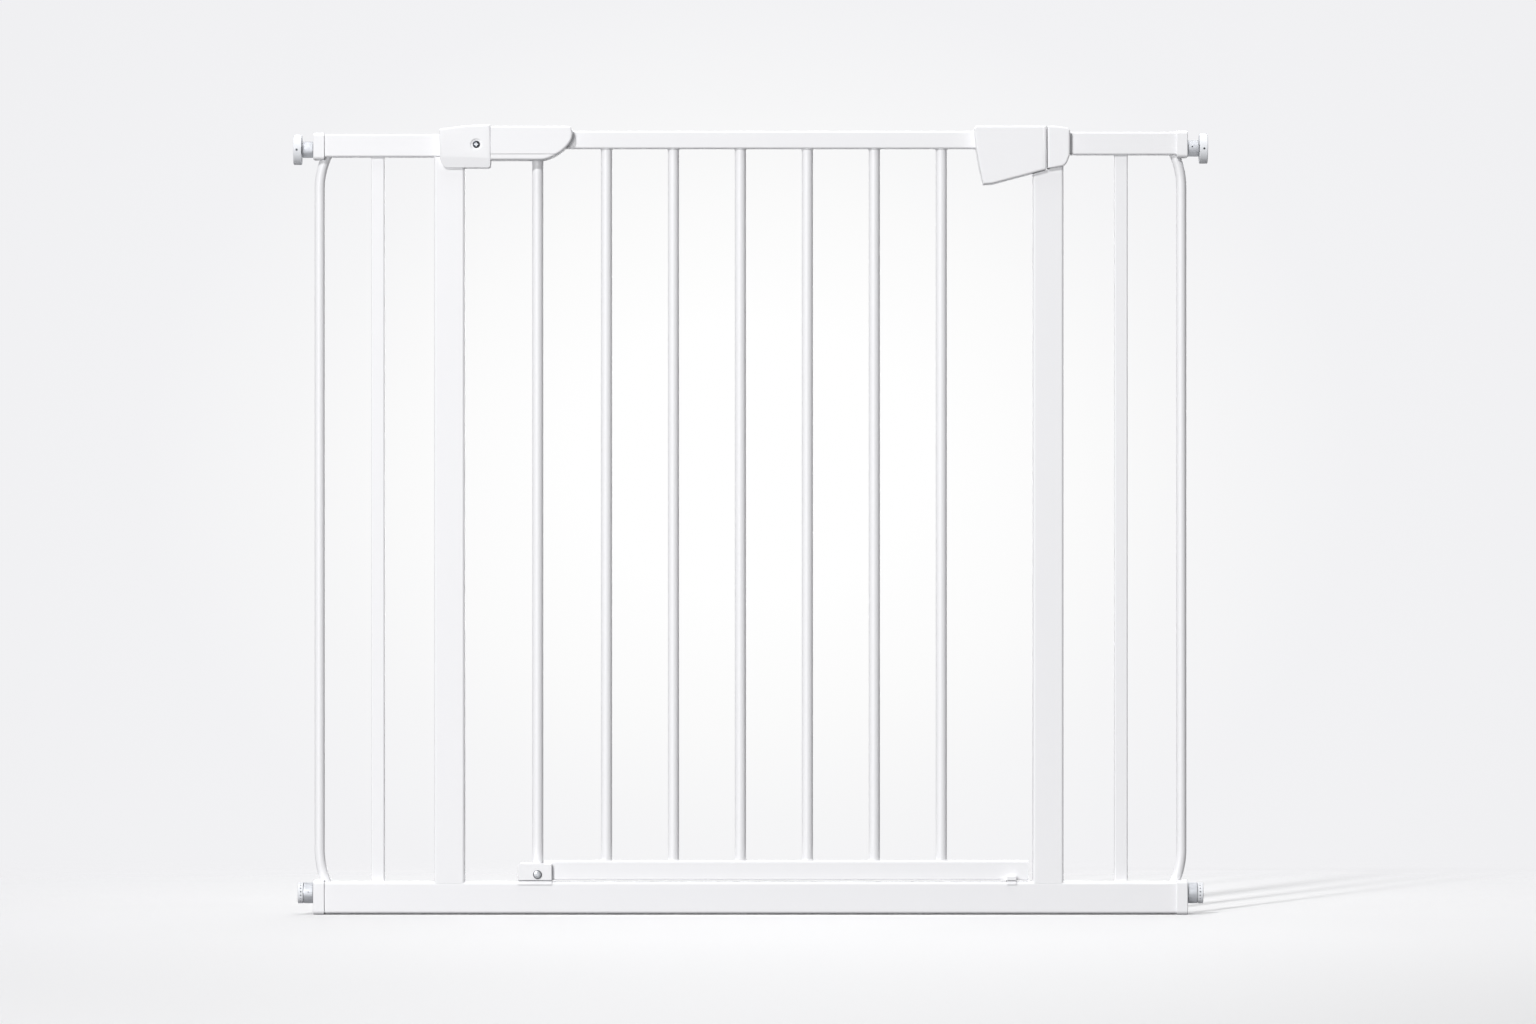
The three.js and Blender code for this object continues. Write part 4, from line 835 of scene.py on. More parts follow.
class OBJECT_OT_gate_frame(PieceOperator):
    """Bottom rail, two posts, two side rails and two side bars of rounded square tube"""

    bl_idname = "object.gate_frame"
    bl_label = "Frame tubes"

    def execute(self, context):
        for name, node, axis, corner, wall in (
            ("bottom_rail", "bottom_rail", "X", RAIL_CORNER, TUBE_WALL),
            ("left_side_rail", "left_top_rail", "X", SIDE_RAIL_CORNER, TUBE_WALL),
            ("right_side_rail", "right_top_rail", "X", SIDE_RAIL_CORNER, TUBE_WALL),
            ("left_side_bar", "left_side_bar", "Z", SIDE_BAR_CORNER, THIN_WALL),
            ("right_side_bar", "right_side_bar", "Z", SIDE_BAR_CORNER, THIN_WALL),
        ):
            dress(tube(name, node, axis, corner, wall), "frame", "painted_steel", node)
        hinge_post = tube("hinge_post", "hinge_post", "Z", RAIL_CORNER, TUBE_WALL)
        dress(carve(hinge_post, cut=[bottom_rail_space()]), "frame", "painted_steel", "hinge_post")
        # The latch post is cut back under the handle's slope and goes on up inside the strike.
        (x0, z0), (x1, z1) = handle_slope()
        wall_end = low("strike_front").x + STRIKE_WALL + FIT
        top = high("handle_front").z + FIT
        start, rise = z0 - POST_GAP, (z1 - z0) / (x1 - x0)
        sweep = slab("Handle sweep", [
            (x0, start, 0), (wall_end, start + rise * (wall_end - x0), 0), (wall_end, top, 0), (x0, top, 0),
        ], "Y", -THROUGH, THROUGH)
        screw = middle("strike_screw")
        hole = rod("Screw hole", (screw.x, 0, screw.z), "Y", THROUGH, LATCH_SCREW_HOLE, 32)
        latch_post = tube("latch_post", "latch_post", "Z", RAIL_CORNER, TUBE_WALL)
        carve(latch_post, cut=[bottom_rail_space(), sweep, hole])
        dress(latch_post, "frame", "painted_steel", "latch_post")
        return {"FINISHED"}


def outer_bar(name, node, radius):
    """Round stock along an outer bar's middle line: upright, its two ends bent in towards the gate."""
    side = 1 if middle(node).x > 0 else -1
    x = max(abs(low(node).x), abs(high(node).x)) - OUTER_BAR_RADIUS
    bottom, top = low(node).z, high(node).z
    lean = math.acos(1 - BEND_LEAN / BEND_RADIUS)
    rise = BEND_RADIUS * math.sin(lean)
    # Each bend runs a little past the end of the bar, which is cut off flat there.
    angles = [(lean + 0.05) * k / 10 for k in range(10, -1, -1)]
    across = [x - BEND_RADIUS * (1 - math.cos(a)) for a in angles]
    lower = [(u, bottom + rise - BEND_RADIUS * math.sin(a)) for u, a in zip(across, angles)]
    upper = [(u, top - rise + BEND_RADIUS * math.sin(a)) for u, a in zip(across[::-1], angles[::-1])]
    path = [(side * u, 0, v) for u, v in lower + upper]
    edges = [(k, k + 1) for k in range(len(path) - 1)]
    return grow(name, swept_tree(), "painted_steel", {"Radius": radius, "Sides": BAR_SIDES}, path, edges)


class OBJECT_OT_gate_outer_bars(PieceOperator):
    """Two round outer bars, swept along their bent paths and cut off on the rails"""

    bl_idname = "object.gate_outer_bars"
    bl_label = "Outer bars"

    def execute(self, context):
        for node in ("left_outer_bar", "right_outer_bar"):
            (x0, _, z0), (x1, _, z1) = low(node), high(node)
            between = block((x0 - 0.05, -0.05, z0), (x1 + 0.05, 0.05, z1))
            bar, bore = outer_bar(node, node, OUTER_BAR_RADIUS), outer_bar("Bore", node, OUTER_BAR_BORE)
            dress(carve(bar, cut=[bore], keep=[between]), "frame", "painted_steel", node)
        return {"FINISHED"}


class OBJECT_OT_gate_leaf(PieceOperator):
    """The leaf's two rails, its hinge bar and its row of round bars"""

    bl_idname = "object.gate_leaf"
    bl_label = "Leaf tubes"

    def execute(self, context):
        for node in ("leaf_bottom_rail", "leaf_top_rail"):
            dress(tube(node, node, "X", SIDE_RAIL_CORNER, THIN_WALL), "leaf", "painted_steel", node)
        (x, y, _), z0, radius = middle("hinge_bar"), low("hinge_bar").z, radius_of("hinge_bar")
        length = high("hinge_bar").z - z0
        bore = rod("Bore", (x, y, z0 - TUBE_WALL), "Z", length + 2 * TUBE_WALL, radius - TUBE_WALL)
        hole_at = (x, y - THROUGH, middle("lower_hinge_screw").z)
        hole = rod("Screw hole", hole_at, "Y", THROUGH, SCREW_HOLE, 32)
        hinge_bar = carve(rod("hinge_bar", (x, y, z0), "Z", length, radius), cut=[bore, hole])
        dress(hinge_bar, "leaf", "painted_steel", "hinge_bar")
        bars = sorted(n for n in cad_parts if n.startswith("leaf_bar_"))
        first, last = middle(bars[0]), middle(bars[-1])
        leaf_bars = grow("leaf_bars", bar_row_tree(), "painted_steel", {
            "Count": len(bars), "First": first.x, "Pitch": (last.x - first.x) / (len(bars) - 1),
            "Bottom": low(bars[0]).z, "Top": high(bars[0]).z, "Radius": radius_of(bars[0]), "Sides": 64,
        })
        dress(leaf_bars, "leaf", "painted_steel", *bars)
        return {"FINISHED"}


def ring_seam(node, z, points, edges, sides=24):
    """Adds a round seam about an upright bar at one height."""
    first = len(points)
    at, radius = middle(node), radius_of(node)
    for k in range(sides):
        angle = 2 * math.pi * k / sides
        points.append((at.x + radius * math.cos(angle), at.y + radius * math.sin(angle), z))
        edges.append((first + k, first + (k + 1) % sides))


class OBJECT_OT_gate_welds(PieceOperator):
    """Weld beads under the paint, where bars and posts meet the rails"""

    bl_idname = "object.gate_welds"
    bl_label = "Weld beads"

    def execute(self, context):
        sizes = context.scene.pet_gate
        values = {"Radius": sizes.bead, "Step": 1 * MM, "Unevenness": sizes.bead_unevenness}
        points, edges = [], []
        for node in (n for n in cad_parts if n.startswith("leaf_bar_")):
            for z in (low(node).z, high(node).z):
                ring_seam(node, z, points, edges)
        beads = grow("leaf_weld_beads", bead_tree(), "painted_steel", values, points, edges)
        dress(beads, "leaf", "painted_steel", crease=80)
        points, edges = [], []
        for node in ("left_side_bar", "right_side_bar"):
            for z in (low(node).z, high(node).z):
                for y in (low(node).y, high(node).y):
                    edges.append((len(points), len(points) + 1))
                    points += [(low(node).x, y, z), (high(node).x, y, z)]
        # Each post's side seams run on round its corners and down over the rail's rounded edges.
        flat, rail_top = high("bottom_rail").y - RAIL_CORNER, high("bottom_rail").z
        turns = (0, 0.3, 0.6, 0.9, 1.2, 1.5)
        bend = [(math.sin(a) * SEAM_REACH, (1 - math.cos(a)) * RAIL_CORNER) for a in turns]
        for node in ("hinge_post", "latch_post"):
            for side, towards in ((-1, -1), (-1, 1), (1, -1), (1, 1)):
                x, first = middle(node).x + side * radius_of(node), len(points)
                points.append((x, 0, rail_top))
                points += [(x - side * fall, towards * (flat + out), rail_top - fall) for out, fall in bend]
                edges += [(k, k + 1) for k in range(first, len(points) - 1)]
        beads = grow("frame_weld_beads", bead_tree(), "painted_steel", values, points, edges)
        dress(beads, "frame", "painted_steel", crease=80)
        return {"FINISHED"}


# ---- End caps and adjusters ----

CORNERS = [(level, hand) for level in ("top", "bottom") for hand in ("left", "right")]
# How deep each pad is dished, then its dimples: depth, radius, count, first angle and share of the thickness.
PADS = {
    "top": (1.6 * MM, 7 * MM, 1.1 * MM, 4, 2, 0.55),
    "bottom": (0.6 * MM, 5 * MM, 0.75 * MM, 18, 11.5, 0.4),
}


class OBJECT_OT_gate_caps(PieceOperator):
    """Four moulded end caps over the rails, each with a plug, a spindle hole and a notch for the outer bar"""

    bl_idname = "object.gate_caps"
    bl_label = "End caps"

    def execute(self, context):
        for level, hand in CORNERS:
            at_bottom, side = level == "bottom", 1 if hand == "right" else -1
            node, rail = f"{level}_{hand}_cap", "bottom_rail" if at_bottom else f"{hand}_top_rail"
            y0, z0, y1, z1, *ends = spans(low(node), high(node), "X")
            plug_end, outer = ends[::side]
            head_ends = sorted((outer - side * CAP_LENGTH, outer))
            corners = rectangle(y0, z0, y1, z1, (4 if at_bottom else 3.5) * MM)
            eases = (0.5 * MM, 1 * MM)[::side]  # the outer rim is the rounder one
            head = slab(f"{level}_{hand}_end_cap", corners, "X", *head_ends, *eases, steps=8)
            rail_end = (high(rail).x if side > 0 else low(rail).x) + side * FIT
            rail_corner = (RAIL_CORNER if at_bottom else SIDE_RAIL_CORNER) + FIT
            around = tube_space(rail, "X", *sorted((rail_end, rail_end - side * 0.1)), rail_corner, 8)
            y0, z0, y1, z1, _, _ = spans(low(rail), high(rail), "X")
            plug = slab(
                "Plug", rectangle(y0 + PLAY, z0 + PLAY, y1 - PLAY, z1 - PLAY, FIT), "X",
                *sorted((plug_end, outer - side * CAP_PLUG_ROOT)),
            )
            spindle = middle(f"{level}_{hand}_spindle")
            hole = rod("Spindle hole", (spindle.x - 0.1, 0, spindle.z), "X", 0.2, SPINDLE_HOLE, 48)
            bar = outer_bar("Bar space", f"{hand}_outer_bar", OUTER_BAR_RADIUS + FIT)
            piece = carve(carve(head, cut=[around, bar], join=[plug]), cut=[hole])
            dress(piece, "frame", "moulded_plastic", node)
        return {"FINISHED"}


class OBJECT_OT_gate_adjusters(PieceOperator):
    """Four wall adjusters: a fluted round nut, a threaded spindle and a soft dished pad each"""

    bl_idname = "object.gate_adjusters"
    bl_label = "Wall adjusters"

    def execute(self, context):
        sizes = context.scene.pet_gate
        threads, flutes = thread_tree(), flute_tree()
        for level, hand in CORNERS:
            corner, side = f"{level}_{hand}", 1 if hand == "right" else -1
            nut, spindle, pad = (f"{corner}_{kind}" for kind in ("nut", "spindle", "pad"))
            z = middle(nut).z
            inner, outer = sorted((low(nut).x, high(nut).x), key=abs)
            width, radius = abs(outer - inner), radius_of(nut, "z")
            edge = [
                (SPINDLE_HOLE, 0), (radius - 0.9 * MM, 0), (radius - 0.2 * MM, 0.2 * MM), (radius, 0.9 * MM),
            ]
            profile = edge + [(r, width - along) for r, along in reversed(edge)]
            body = turned(f"{corner}_adjuster_nut", profile, (inner, 0, z), "X", side, sides=sizes.flutes * 6)
            run_tree(body, flutes, "plated_steel", {
                "Flutes": sizes.flutes, "Height": z, "From radius": radius - 0.05 * MM,
                "Depth": sizes.flute_depth,
            })
            # Two blind holes for a tommy bar; each nut stands at a turn of its own.
            start = {"top_right": -11, "bottom_left": -6}.get(corner, 84)
            holes = spokes(inner + side * 4.2 * MM, z, radius - 2 * MM, radius + 1 * MM, 0.8 * MM, 2, start)
            dress(carve(body, cut=[holes]), f"{corner}_wheel", "plated_steel", nut, crease=35)

            start, end = low(spindle).x, high(spindle).x
            threaded = grow(f"{corner}_threaded_spindle", threads, "plated_steel", {
                "Start": start, "Length": end - start, "Height": middle(spindle).z,
                "Radius": radius_of(spindle, "z"), "Depth": sizes.thread_depth, "Pitch": sizes.thread_pitch,
            })
            dress(face_out(threaded), f"{corner}_foot", "plated_steel", spindle, crease=50)

            z = middle(pad).z
            inner, outer = sorted((low(pad).x, high(pad).x), key=abs)
            thick, radius = abs(outer - inner), radius_of(pad, "z")
            dish, deep, across, count, start, share = PADS[level]
            profile = [
                (0, PAD_SOCKET), (SPINDLE_HOLE, PAD_SOCKET), (SPINDLE_HOLE, dish), (radius * 0.55, dish),
                (radius - 1.4 * MM, 0), (radius - 0.3 * MM, 0), (radius, 0.3 * MM),
                *arc(radius - PAD_EDGE, thick - PAD_EDGE, PAD_EDGE, 5), (radius * 0.5, thick), (0, thick),
            ]
            body = turned(f"{corner}_wall_pad", profile, (inner, 0, z), "X", side, sides=72)
            # Moulded dimples in the rim: a few deep ones on the wide pads, a close row on the small ones.
            at = inner + side * thick * share
            dimples = spokes(at, z, radius - deep, radius + 1 * MM, across, count, start)
            dress(carve(body, cut=[dimples]), f"{corner}_foot", "pad_rubber", pad, crease=35)
        return {"FINISHED"}


def spokes(x, z, inner, outer, radius, count, start):
    """Round tools that point outwards in a ring about an axis along X, from an angle below the front."""
    made = bmesh.new()
    for k in range(count):
        angle = math.radians(start + 360 * k / count)
        turn = (
            Matrix.Translation((x, 0, z)) @ Matrix.Rotation(angle, 4, "X")
            @ Matrix.Translation((0, -(inner + outer) / 2, 0)) @ Matrix.Rotation(math.pi / 2, 4, "X")
        )
        bmesh.ops.create_cone(
            made, cap_ends=True, segments=20, radius1=radius, radius2=radius, depth=outer - inner,
            matrix=turn,
        )
    bmesh.ops.recalc_face_normals(made, faces=made.faces)
    mesh = bpy.data.meshes.new("Spokes")
    made.to_mesh(mesh)
    made.free()
    return link("Spokes", mesh)


# ---- Upper hinge ----


def hinge_axis():
    """Place of the leaf's hinge axis along X."""
    return middle("hinge_bar").x


def cover_outline():
    """The front outline that the hinge's arm and cover share."""
    bottom, top, right = low("hinge_collar").z, high("hinge_cover_front").z, high("hinge_cover_front").x
    left, start, sweep_top = hinge_axis() - COVER_RADIUS, hinge_axis() + SWEEP_START, bottom + SWEEP_HEIGHT
    sweep = bezier(
        (start, bottom), ((start + right) / 2, bottom + 0.07 * SWEEP_HEIGHT),
        (right, sweep_top - 0.35 * SWEEP_HEIGHT), (right, sweep_top), steps=20,
    )
    corner = bezier(
        (right, sweep_top), (right, top - 0.65 * COVER_CORNER), (right - 0.2 * COVER_CORNER, top),
        (right - COVER_CORNER, top), steps=8,
    )
    return [(u, v, 0) for u, v in ((left, bottom), (start, bottom), *sweep, *corner, (left, top))]


def housing_outline():
    """The front outline of the hinge's housing."""
    (left, _, bottom), top = low("hinge_housing_front"), high("hinge_housing_front").z
    right, arch_start = hinge_axis() - COVER_GAP, hinge_axis() - COVER_RADIUS + HOUSING_LIP
    left_top = high("left_top_rail").z + HOUSING_OVER_RAIL
    arch = bezier((arch_start, top), (left + HOUSING_ARCH, top), (left, left_top), steps=16)
    foot, start = (left + HOUSING_LEAN, bottom + HOUSING_CORNER), (left + HOUSING_CORNER, bottom)
    corner = bezier(foot, (left + 0.28 * HOUSING_CORNER, bottom), start, steps=12)[:-1]
    points = (start, (right, bottom), (right, top), (arch_start, top), *arch, foot, *corner)
    return [(u, v, 0) for u, v in points]


def arm_levels():
    """The heights of the arm's underside and top, and where its block ends along X inside the housing."""
    block_end = hinge_axis() - COVER_RADIUS - COVER_GAP - SHELL - FIT
    return low("hinge_collar").z, low("hinge_cover_front").z - COVER_GAP, block_end


def axis_rod(radius, sides=256):
    """An upright round tool about the hinge axis, taller than the hinge."""
    return rod("Round", (hinge_axis(), 0, 0.6), "Z", 0.3, radius, sides)


def moulded(name, corners, half_depth, ease, inset=0.0):
    """A moulding seen from the front, with its two rims rounded over."""
    if inset:
        corners = [(p.x, p.y, 0) for p in outline(corners, inset)]
    return slab(name, corners, "Y", -half_depth, half_depth, ease, ease)


def shell(corners, half_depth, ease):
    """A moulding and the tool that hollows it out."""
    hollow = moulded("Hollow", corners, half_depth - SHELL, 0.5 * MM, SHELL)
    return moulded("Moulding", corners, half_depth, ease), hollow


def dress_halves(piece, part, body, front_shelves=(), rear_shelves=()):
    """Parts a moulding at its seam, joins what stands inside each half, and dresses the two halves."""
    twin = link(f"{part}_rear", piece.data.copy())
    piece.name = f"{part}_front"
    for half, node, start, end, shelves in (
        (piece, f"{part}_front", -1, -SEAM / 2, front_shelves),
        (twin, f"{part}_rear", SEAM / 2, 1, rear_shelves),
    ):
        carve(half, keep=[block((-1, start, -1), (1, end, 1))])
        dress(carve(half, join=shelves), body, "moulded_plastic", node)


def leaf_rail_space(end):
    """Room for the leaf's top rail, up to a place along X."""
    return tube_space("leaf_top_rail", "X", low("leaf_top_rail").x - FIT, end, SIDE_RAIL_CORNER + FIT)


def recess(node, y, towards, radius, length=30 * MM, sides=48):
    """A round tool about a screw, from a depth y outwards to the front (-1) or the rear (1)."""
    start = y if towards > 0 else y - length
    return rod("Recess", (middle(node).x, start, middle(node).z), "Y", length, radius, sides)


def housing_screw_hole():
    """Room for the shank of the housing's screw."""
    return recess("hinge_housing_screw", 16 * MM - high("hinge_housing_rear").y, -1, SCREW_HOLE, 40 * MM, 32)


class OBJECT_OT_gate_hinge_housing(PieceOperator):
    """The fixed housing of the upper hinge, in a front and a rear half"""

    bl_idname = "object.gate_hinge_housing"
    bl_label = "Hinge housing"

    def execute(self, context):
        half, ease = high("hinge_housing_rear").y, context.scene.pet_gate.easing
        body, hollow = shell(housing_outline(), half, ease)
        hollow = carve(hollow, cut=[axis_rod(COVER_RADIUS + COVER_GAP + SHELL)])
        post = tube_space("hinge_post", "Z", 0.5, high("hinge_post").z + FIT, RAIL_CORNER + FIT)
        rail = tube_space("left_top_rail", "X", -0.5, high("left_top_rail").x + FIT, SIDE_RAIL_CORNER + FIT)
        underside, top, block_end = arm_levels()
        tongue = block(
            (block_end - 1 * MM, -ARM_RECESS, underside - FIT), (hinge_axis(), ARM_RECESS, top + FIT),
        )
        (x0, _, z0), (x1, _, z1) = low("hinge_housing_front"), high("hinge_housing_front")
        end = moulded("Rounded end", [
            (x0 - 1 * MM, z0, 0), (x1, z0, 3.2 * MM), (x1, z1, 0), (x0 - 1 * MM, z1, 0),
        ], half, ease)
        body = carve(body, keep=[end])
        # Below a slanting crease, the front and the rear face fold in a little.
        for side in (-1, 1):
            inner, outer, below = side * (half - FOLD_DEPTH), side * (half + 3 * MM), z0 - 2 * MM
            body = carve(body, cut=[loft("Fold", [
                [(x, side * half, crease), (x, inner, below), (x, outer, below), (x, outer, crease)]
                for x, crease in ((x0 - 5 * MM, z0 + 12.6 * MM), (x1 + 5 * MM, z0 + 8.6 * MM))
            ])])
        body = carve(body, cut=[
            axis_rod(COVER_RADIUS + COVER_GAP), hollow, post, rail, tongue,
            recess("hinge_housing_screw", HOUSING_SCREW_SUNK - half, -1, HOUSING_COUNTERBORE),
            housing_screw_hole(),
        ])
        dress_halves(body, "hinge_housing", "frame")
        return {"FINISHED"}


class OBJECT_OT_gate_hinge_arm(PieceOperator):
    """The arm that carries the bush: a plate, a tongue, a block on the post and a plug in the rail"""

    bl_idname = "object.gate_hinge_arm"
    bl_label = "Hinge arm"

    def execute(self, context):
        half = high("hinge_housing_rear").y
        underside, top, block_end = arm_levels()
        plate = moulded("hinge_arm", cover_outline(), half, context.scene.pet_gate.easing)
        plate = carve(plate, keep=[axis_rod(COVER_RADIUS), block((-1, -1, 0), (1, 1, top))])
        tongue_end = hinge_axis() - 9.2 * MM
        tongue = block((block_end - 1 * MM, -ARM_TONGUE, underside), (tongue_end, ARM_TONGUE, top))
        (x0, _, z0), z1, post_right = low("hinge_arm"), high("hinge_arm").z, high("hinge_post").x
        inside, corners = half - SHELL - FIT, rectangle(post_right + FIT, z0, block_end, z1, 1 * MM)
        seat = slab("Seat", corners, "Y", -inside, inside, 0.4 * MM, 0.4 * MM)
        (_, ry0, rz0), (_, ry1, rz1) = low("left_top_rail"), high("left_top_rail")
        plug_end = post_right + 1 * MM
        plug = block((x0, ry0 + PLAY, rz0 + PLAY), (plug_end, ry1 - PLAY, rz1 - PLAY), 0.5 * MM, "X")
        bore = axis_rod(radius_of("hinge_bush") + RUNNING, 64)
        piece = carve(plate, join=[tongue, seat, plug], cut=[bore, housing_screw_hole()])
        dress(piece, "frame", "moulded_plastic", "hinge_arm")
        return {"FINISHED"}


class OBJECT_OT_gate_hinge_cover(PieceOperator):
    """The turning cover over the leaf's hinge end, in a front and a rear half"""

    bl_idname = "object.gate_hinge_cover"
    bl_label = "Hinge cover"

    def execute(self, context):
        bottom = low("hinge_cover_front").z
        body, hollow = shell(cover_outline(), high("hinge_cover_rear").y, context.scene.pet_gate.easing)
        above = block((-1, -1, bottom + SHELL), (1, 1, 1))
        hollow = carve(hollow, keep=[axis_rod(COVER_RADIUS - SHELL), above])
        collar = rod("Collar space", (hinge_axis(), 0, 0.7), "Z", bottom + SHELL + 1 * MM - 0.7, COLLAR_SPACE)
        above = block((-1, -1, bottom), (1, 1, 1))
        body = carve(body, keep=[axis_rod(COVER_RADIUS), above], cut=[hollow, collar, leaf_rail_space(0)])
        dress_halves(body, "hinge_cover", "leaf")
        return {"FINISHED"}


class OBJECT_OT_gate_hinge_bearing(PieceOperator):
    """Bush, turning collar and block inside the upper hinge"""

    bl_idname = "object.gate_hinge_bearing"
    bl_label = "Hinge bearing"

    def execute(self, context):
        z0, radius = low("hinge_bush").z, radius_of("hinge_bush")
        length, inner, ease = high("hinge_bush").z - z0, 7.8 * MM, 0.4 * MM
        profile = [
            (inner + ease, 0), (radius - ease, 0), (radius, ease), (radius, length - ease),
            (radius - ease, length), (inner + ease, length), (inner, length - ease), (inner, ease),
        ]
        bush = turned("hinge_bush", profile, (hinge_axis(), 0, z0), "Z", sides=64)
        dress(bush, "frame", "bearing_plastic", "hinge_bush")
        z0, radius = low("hinge_collar").z, radius_of("hinge_collar")
        length, inner, sleeve, ease = high("hinge_collar").z - z0, 5.75 * MM, 7.55 * MM, 0.35 * MM
        flange = length - 2 * MM
        profile = [
            (inner, 0), (sleeve - ease, 0), (sleeve, ease), (sleeve, flange), (radius - ease, flange),
            (radius, flange + ease), (radius, length - ease), (radius - ease, length), (inner, length),
        ]
        collar = turned("hinge_collar", profile, (hinge_axis(), 0, z0), "Z", sides=64)
        dress(collar, "hinge_hub", "bearing_plastic", "hinge_collar")
        dress(dressed_copy("hinge_block", 0.35 * MM), "leaf", "plated_steel", "hinge_block")
        return {"FINISHED"}


class OBJECT_OT_gate_springs(PieceOperator):
    """The closing spring on the hinge bar and the spring under the thumb button"""

    bl_idname = "object.gate_springs"
    bl_label = "Springs"

    def execute(self, context):
        sizes = context.scene.pet_gate
        coils = coil_tree()
        for node, body, wire, turns in (
            ("closing_spring", "hinge_hub", 1.6 * MM, sizes.closing_turns),
            ("button_spring", "leaf", 1 * MM, sizes.button_turns),
        ):
            (x0, y0, z0), (x1, y1, z1) = low(node), high(node)
            # The height of the coil is that of the wire's middle, a hair inside the node at both ends.
            piece = grow(node, coils, "spring_steel", {
                "Turns": float(turns), "Radius": (x1 - x0 - wire) / 2, "Height": z1 - z0 - 1.02 * wire,
                "Wire": wire,
            })
            x, y = (x0 + x1) / 2, (y0 + y1) / 2
            piece.data.transform(Matrix.Translation((x, y, z0 + 0.51 * wire)))
            dress(face_out(piece), body, "spring_steel", node, crease=60)
            if node == "button_spring":
                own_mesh(piece)
        return {"FINISHED"}


# ---- Lower hinge and lower catch ----


def saddle(name, node):
    """A thin saddle over the bottom rail, as wide as its CAD node."""
    (x0, y0, z0), (x1, y1, z1) = low(node), high(node)
    corners = rectangle(y0, z1 - 2 * (z1 - z0), y1, z1, 3.3 * MM)
    band = slab(name, corners, "X", x0, x1, 0.3 * MM, 0.3 * MM, steps=8)
    return carve(band, keep=[block((-1, -1, z0), (1, 1, 1))], cut=[bottom_rail_space()])


class OBJECT_OT_gate_lower_hinge(PieceOperator):
    """Saddle, pin and cap of the lower hinge"""

    bl_idname = "object.gate_lower_hinge"
    bl_label = "Lower hinge"

    def execute(self, context):
        x = hinge_axis()
        pin_hole = rod("Pin hole", (x, 0, 0.01), "Z", 0.1, 7.3 * MM, 48)
        base = carve(saddle("lower_hinge_saddle", "lower_hinge_base"), cut=[pin_hole])
        dress(base, "frame", "moulded_plastic", "lower_hinge_base")
        z0 = low("lower_hinge_pin").z
        tip = high("lower_hinge_pin").z - z0
        profile = [
            (0, 0), (7 * MM, 0), (7 * MM, 0.6 * MM), (6.7 * MM, 0.9 * MM), (4 * MM, 0.9 * MM),
            *arc(3 * MM, tip - 1 * MM, 1 * MM, 4), (0, tip),
        ]
        pin = turned("lower_hinge_pin", profile, (x, 0, z0), "Z", sides=48)
        dress(pin, "frame", "plated_steel", "lower_hinge_pin")
        (x0, y0, z0), (x1, y1, z1) = low("lower_hinge_cap"), high("lower_hinge_cap")
        cap = slab("lower_hinge_cap", [
            (x0, z0, 0.4 * MM), (x1, z0, 0.4 * MM), (x1, z1 - 1 * MM, 0.6 * MM), (x + 5.5 * MM, z1, 1.5 * MM),
            (x0, z1, 3.4 * MM),
        ], "Y", y0, y1, 0.8 * MM, 0.8 * MM, steps=8)
        bar = rod("Bar space", (x, 0, 0), "Z", 0.5, radius_of("hinge_bar") + FIT)
        rail = tube_space("leaf_bottom_rail", "X", low("leaf_bottom_rail").x - FIT, 0, SIDE_RAIL_CORNER + FIT)
        hole = recess("lower_hinge_screw", 0, -1, SCREW_HOLE, 40 * MM, 32)
        # A short slot in the cap's top, behind the bar, where a driver lifts the cap off.
        slot = block((x - 10.6 * MM, -9 * MM, z1 - 2.4 * MM), (x - 6.6 * MM, 3 * MM, z1 + 1 * MM), 0.5 * MM)
        dress(carve(cap, cut=[bar, rail, hole, slot]), "leaf", "moulded_plastic", "lower_hinge_cap")
        return {"FINISHED"}


class OBJECT_OT_gate_lower_catch(PieceOperator):
    """The saddle and hooked catch that stop the leaf's free end at the bottom, and the leaf rail's plug"""

    bl_idname = "object.gate_lower_catch"
    bl_label = "Lower catch"

    def execute(self, context):
        dress(saddle("bottom_strike", "bottom_strike"), "frame", "moulded_plastic", "bottom_strike")
        for node in ("bottom_catch", "leaf_rail_plug"):
            dress(dressed_copy(node, 0.3 * MM), "leaf", "moulded_plastic", node)
        return {"FINISHED"}


# ---- Latch ----

# Outlines in millimetres from the lower left corner, each corner with its radius.
HANDLE_CORNERS = [
    (9.6, 0, 1.4), (18.4, 0.4, 8), (71.6, 14.5, 0.8), (71.6, 57.3, 0.8), (0, 57.3, 3.2), (2.6, 35.2, 14),
    (6.2, 14.9, 14),
]
STRIKE_CORNERS = [
    (0.2, 0, 0.6), (15.7, 2.2, 5), (18.9, 5, 8), (22.1, 13.6, 12), (22.1, 38.4, 3), (17.6, 40.6, 8),
    (8.5, 41.8, 30), (0, 41.8, 0.6),
]


def shifted(x, z, corners):
    """Outline corners given in millimetres from a starting point."""
    return [(x + dx * MM, z + dz * MM, radius * MM) for dx, dz, radius in corners]


def latch_screw_space(node, half, shank_from):
    """The counterbore and the hole of a screw that goes in from the rear."""
    return [
        recess(node, half - LATCH_SCREW_SUNK, 1, LATCH_COUNTERBORE),
        recess(node, shank_from, 1, LATCH_SCREW_HOLE, 60 * MM, 32),
    ]


def button_centre():
    """The middle of the thumb button's cap along X."""
    return high("handle_front").x - BUTTON_INSET


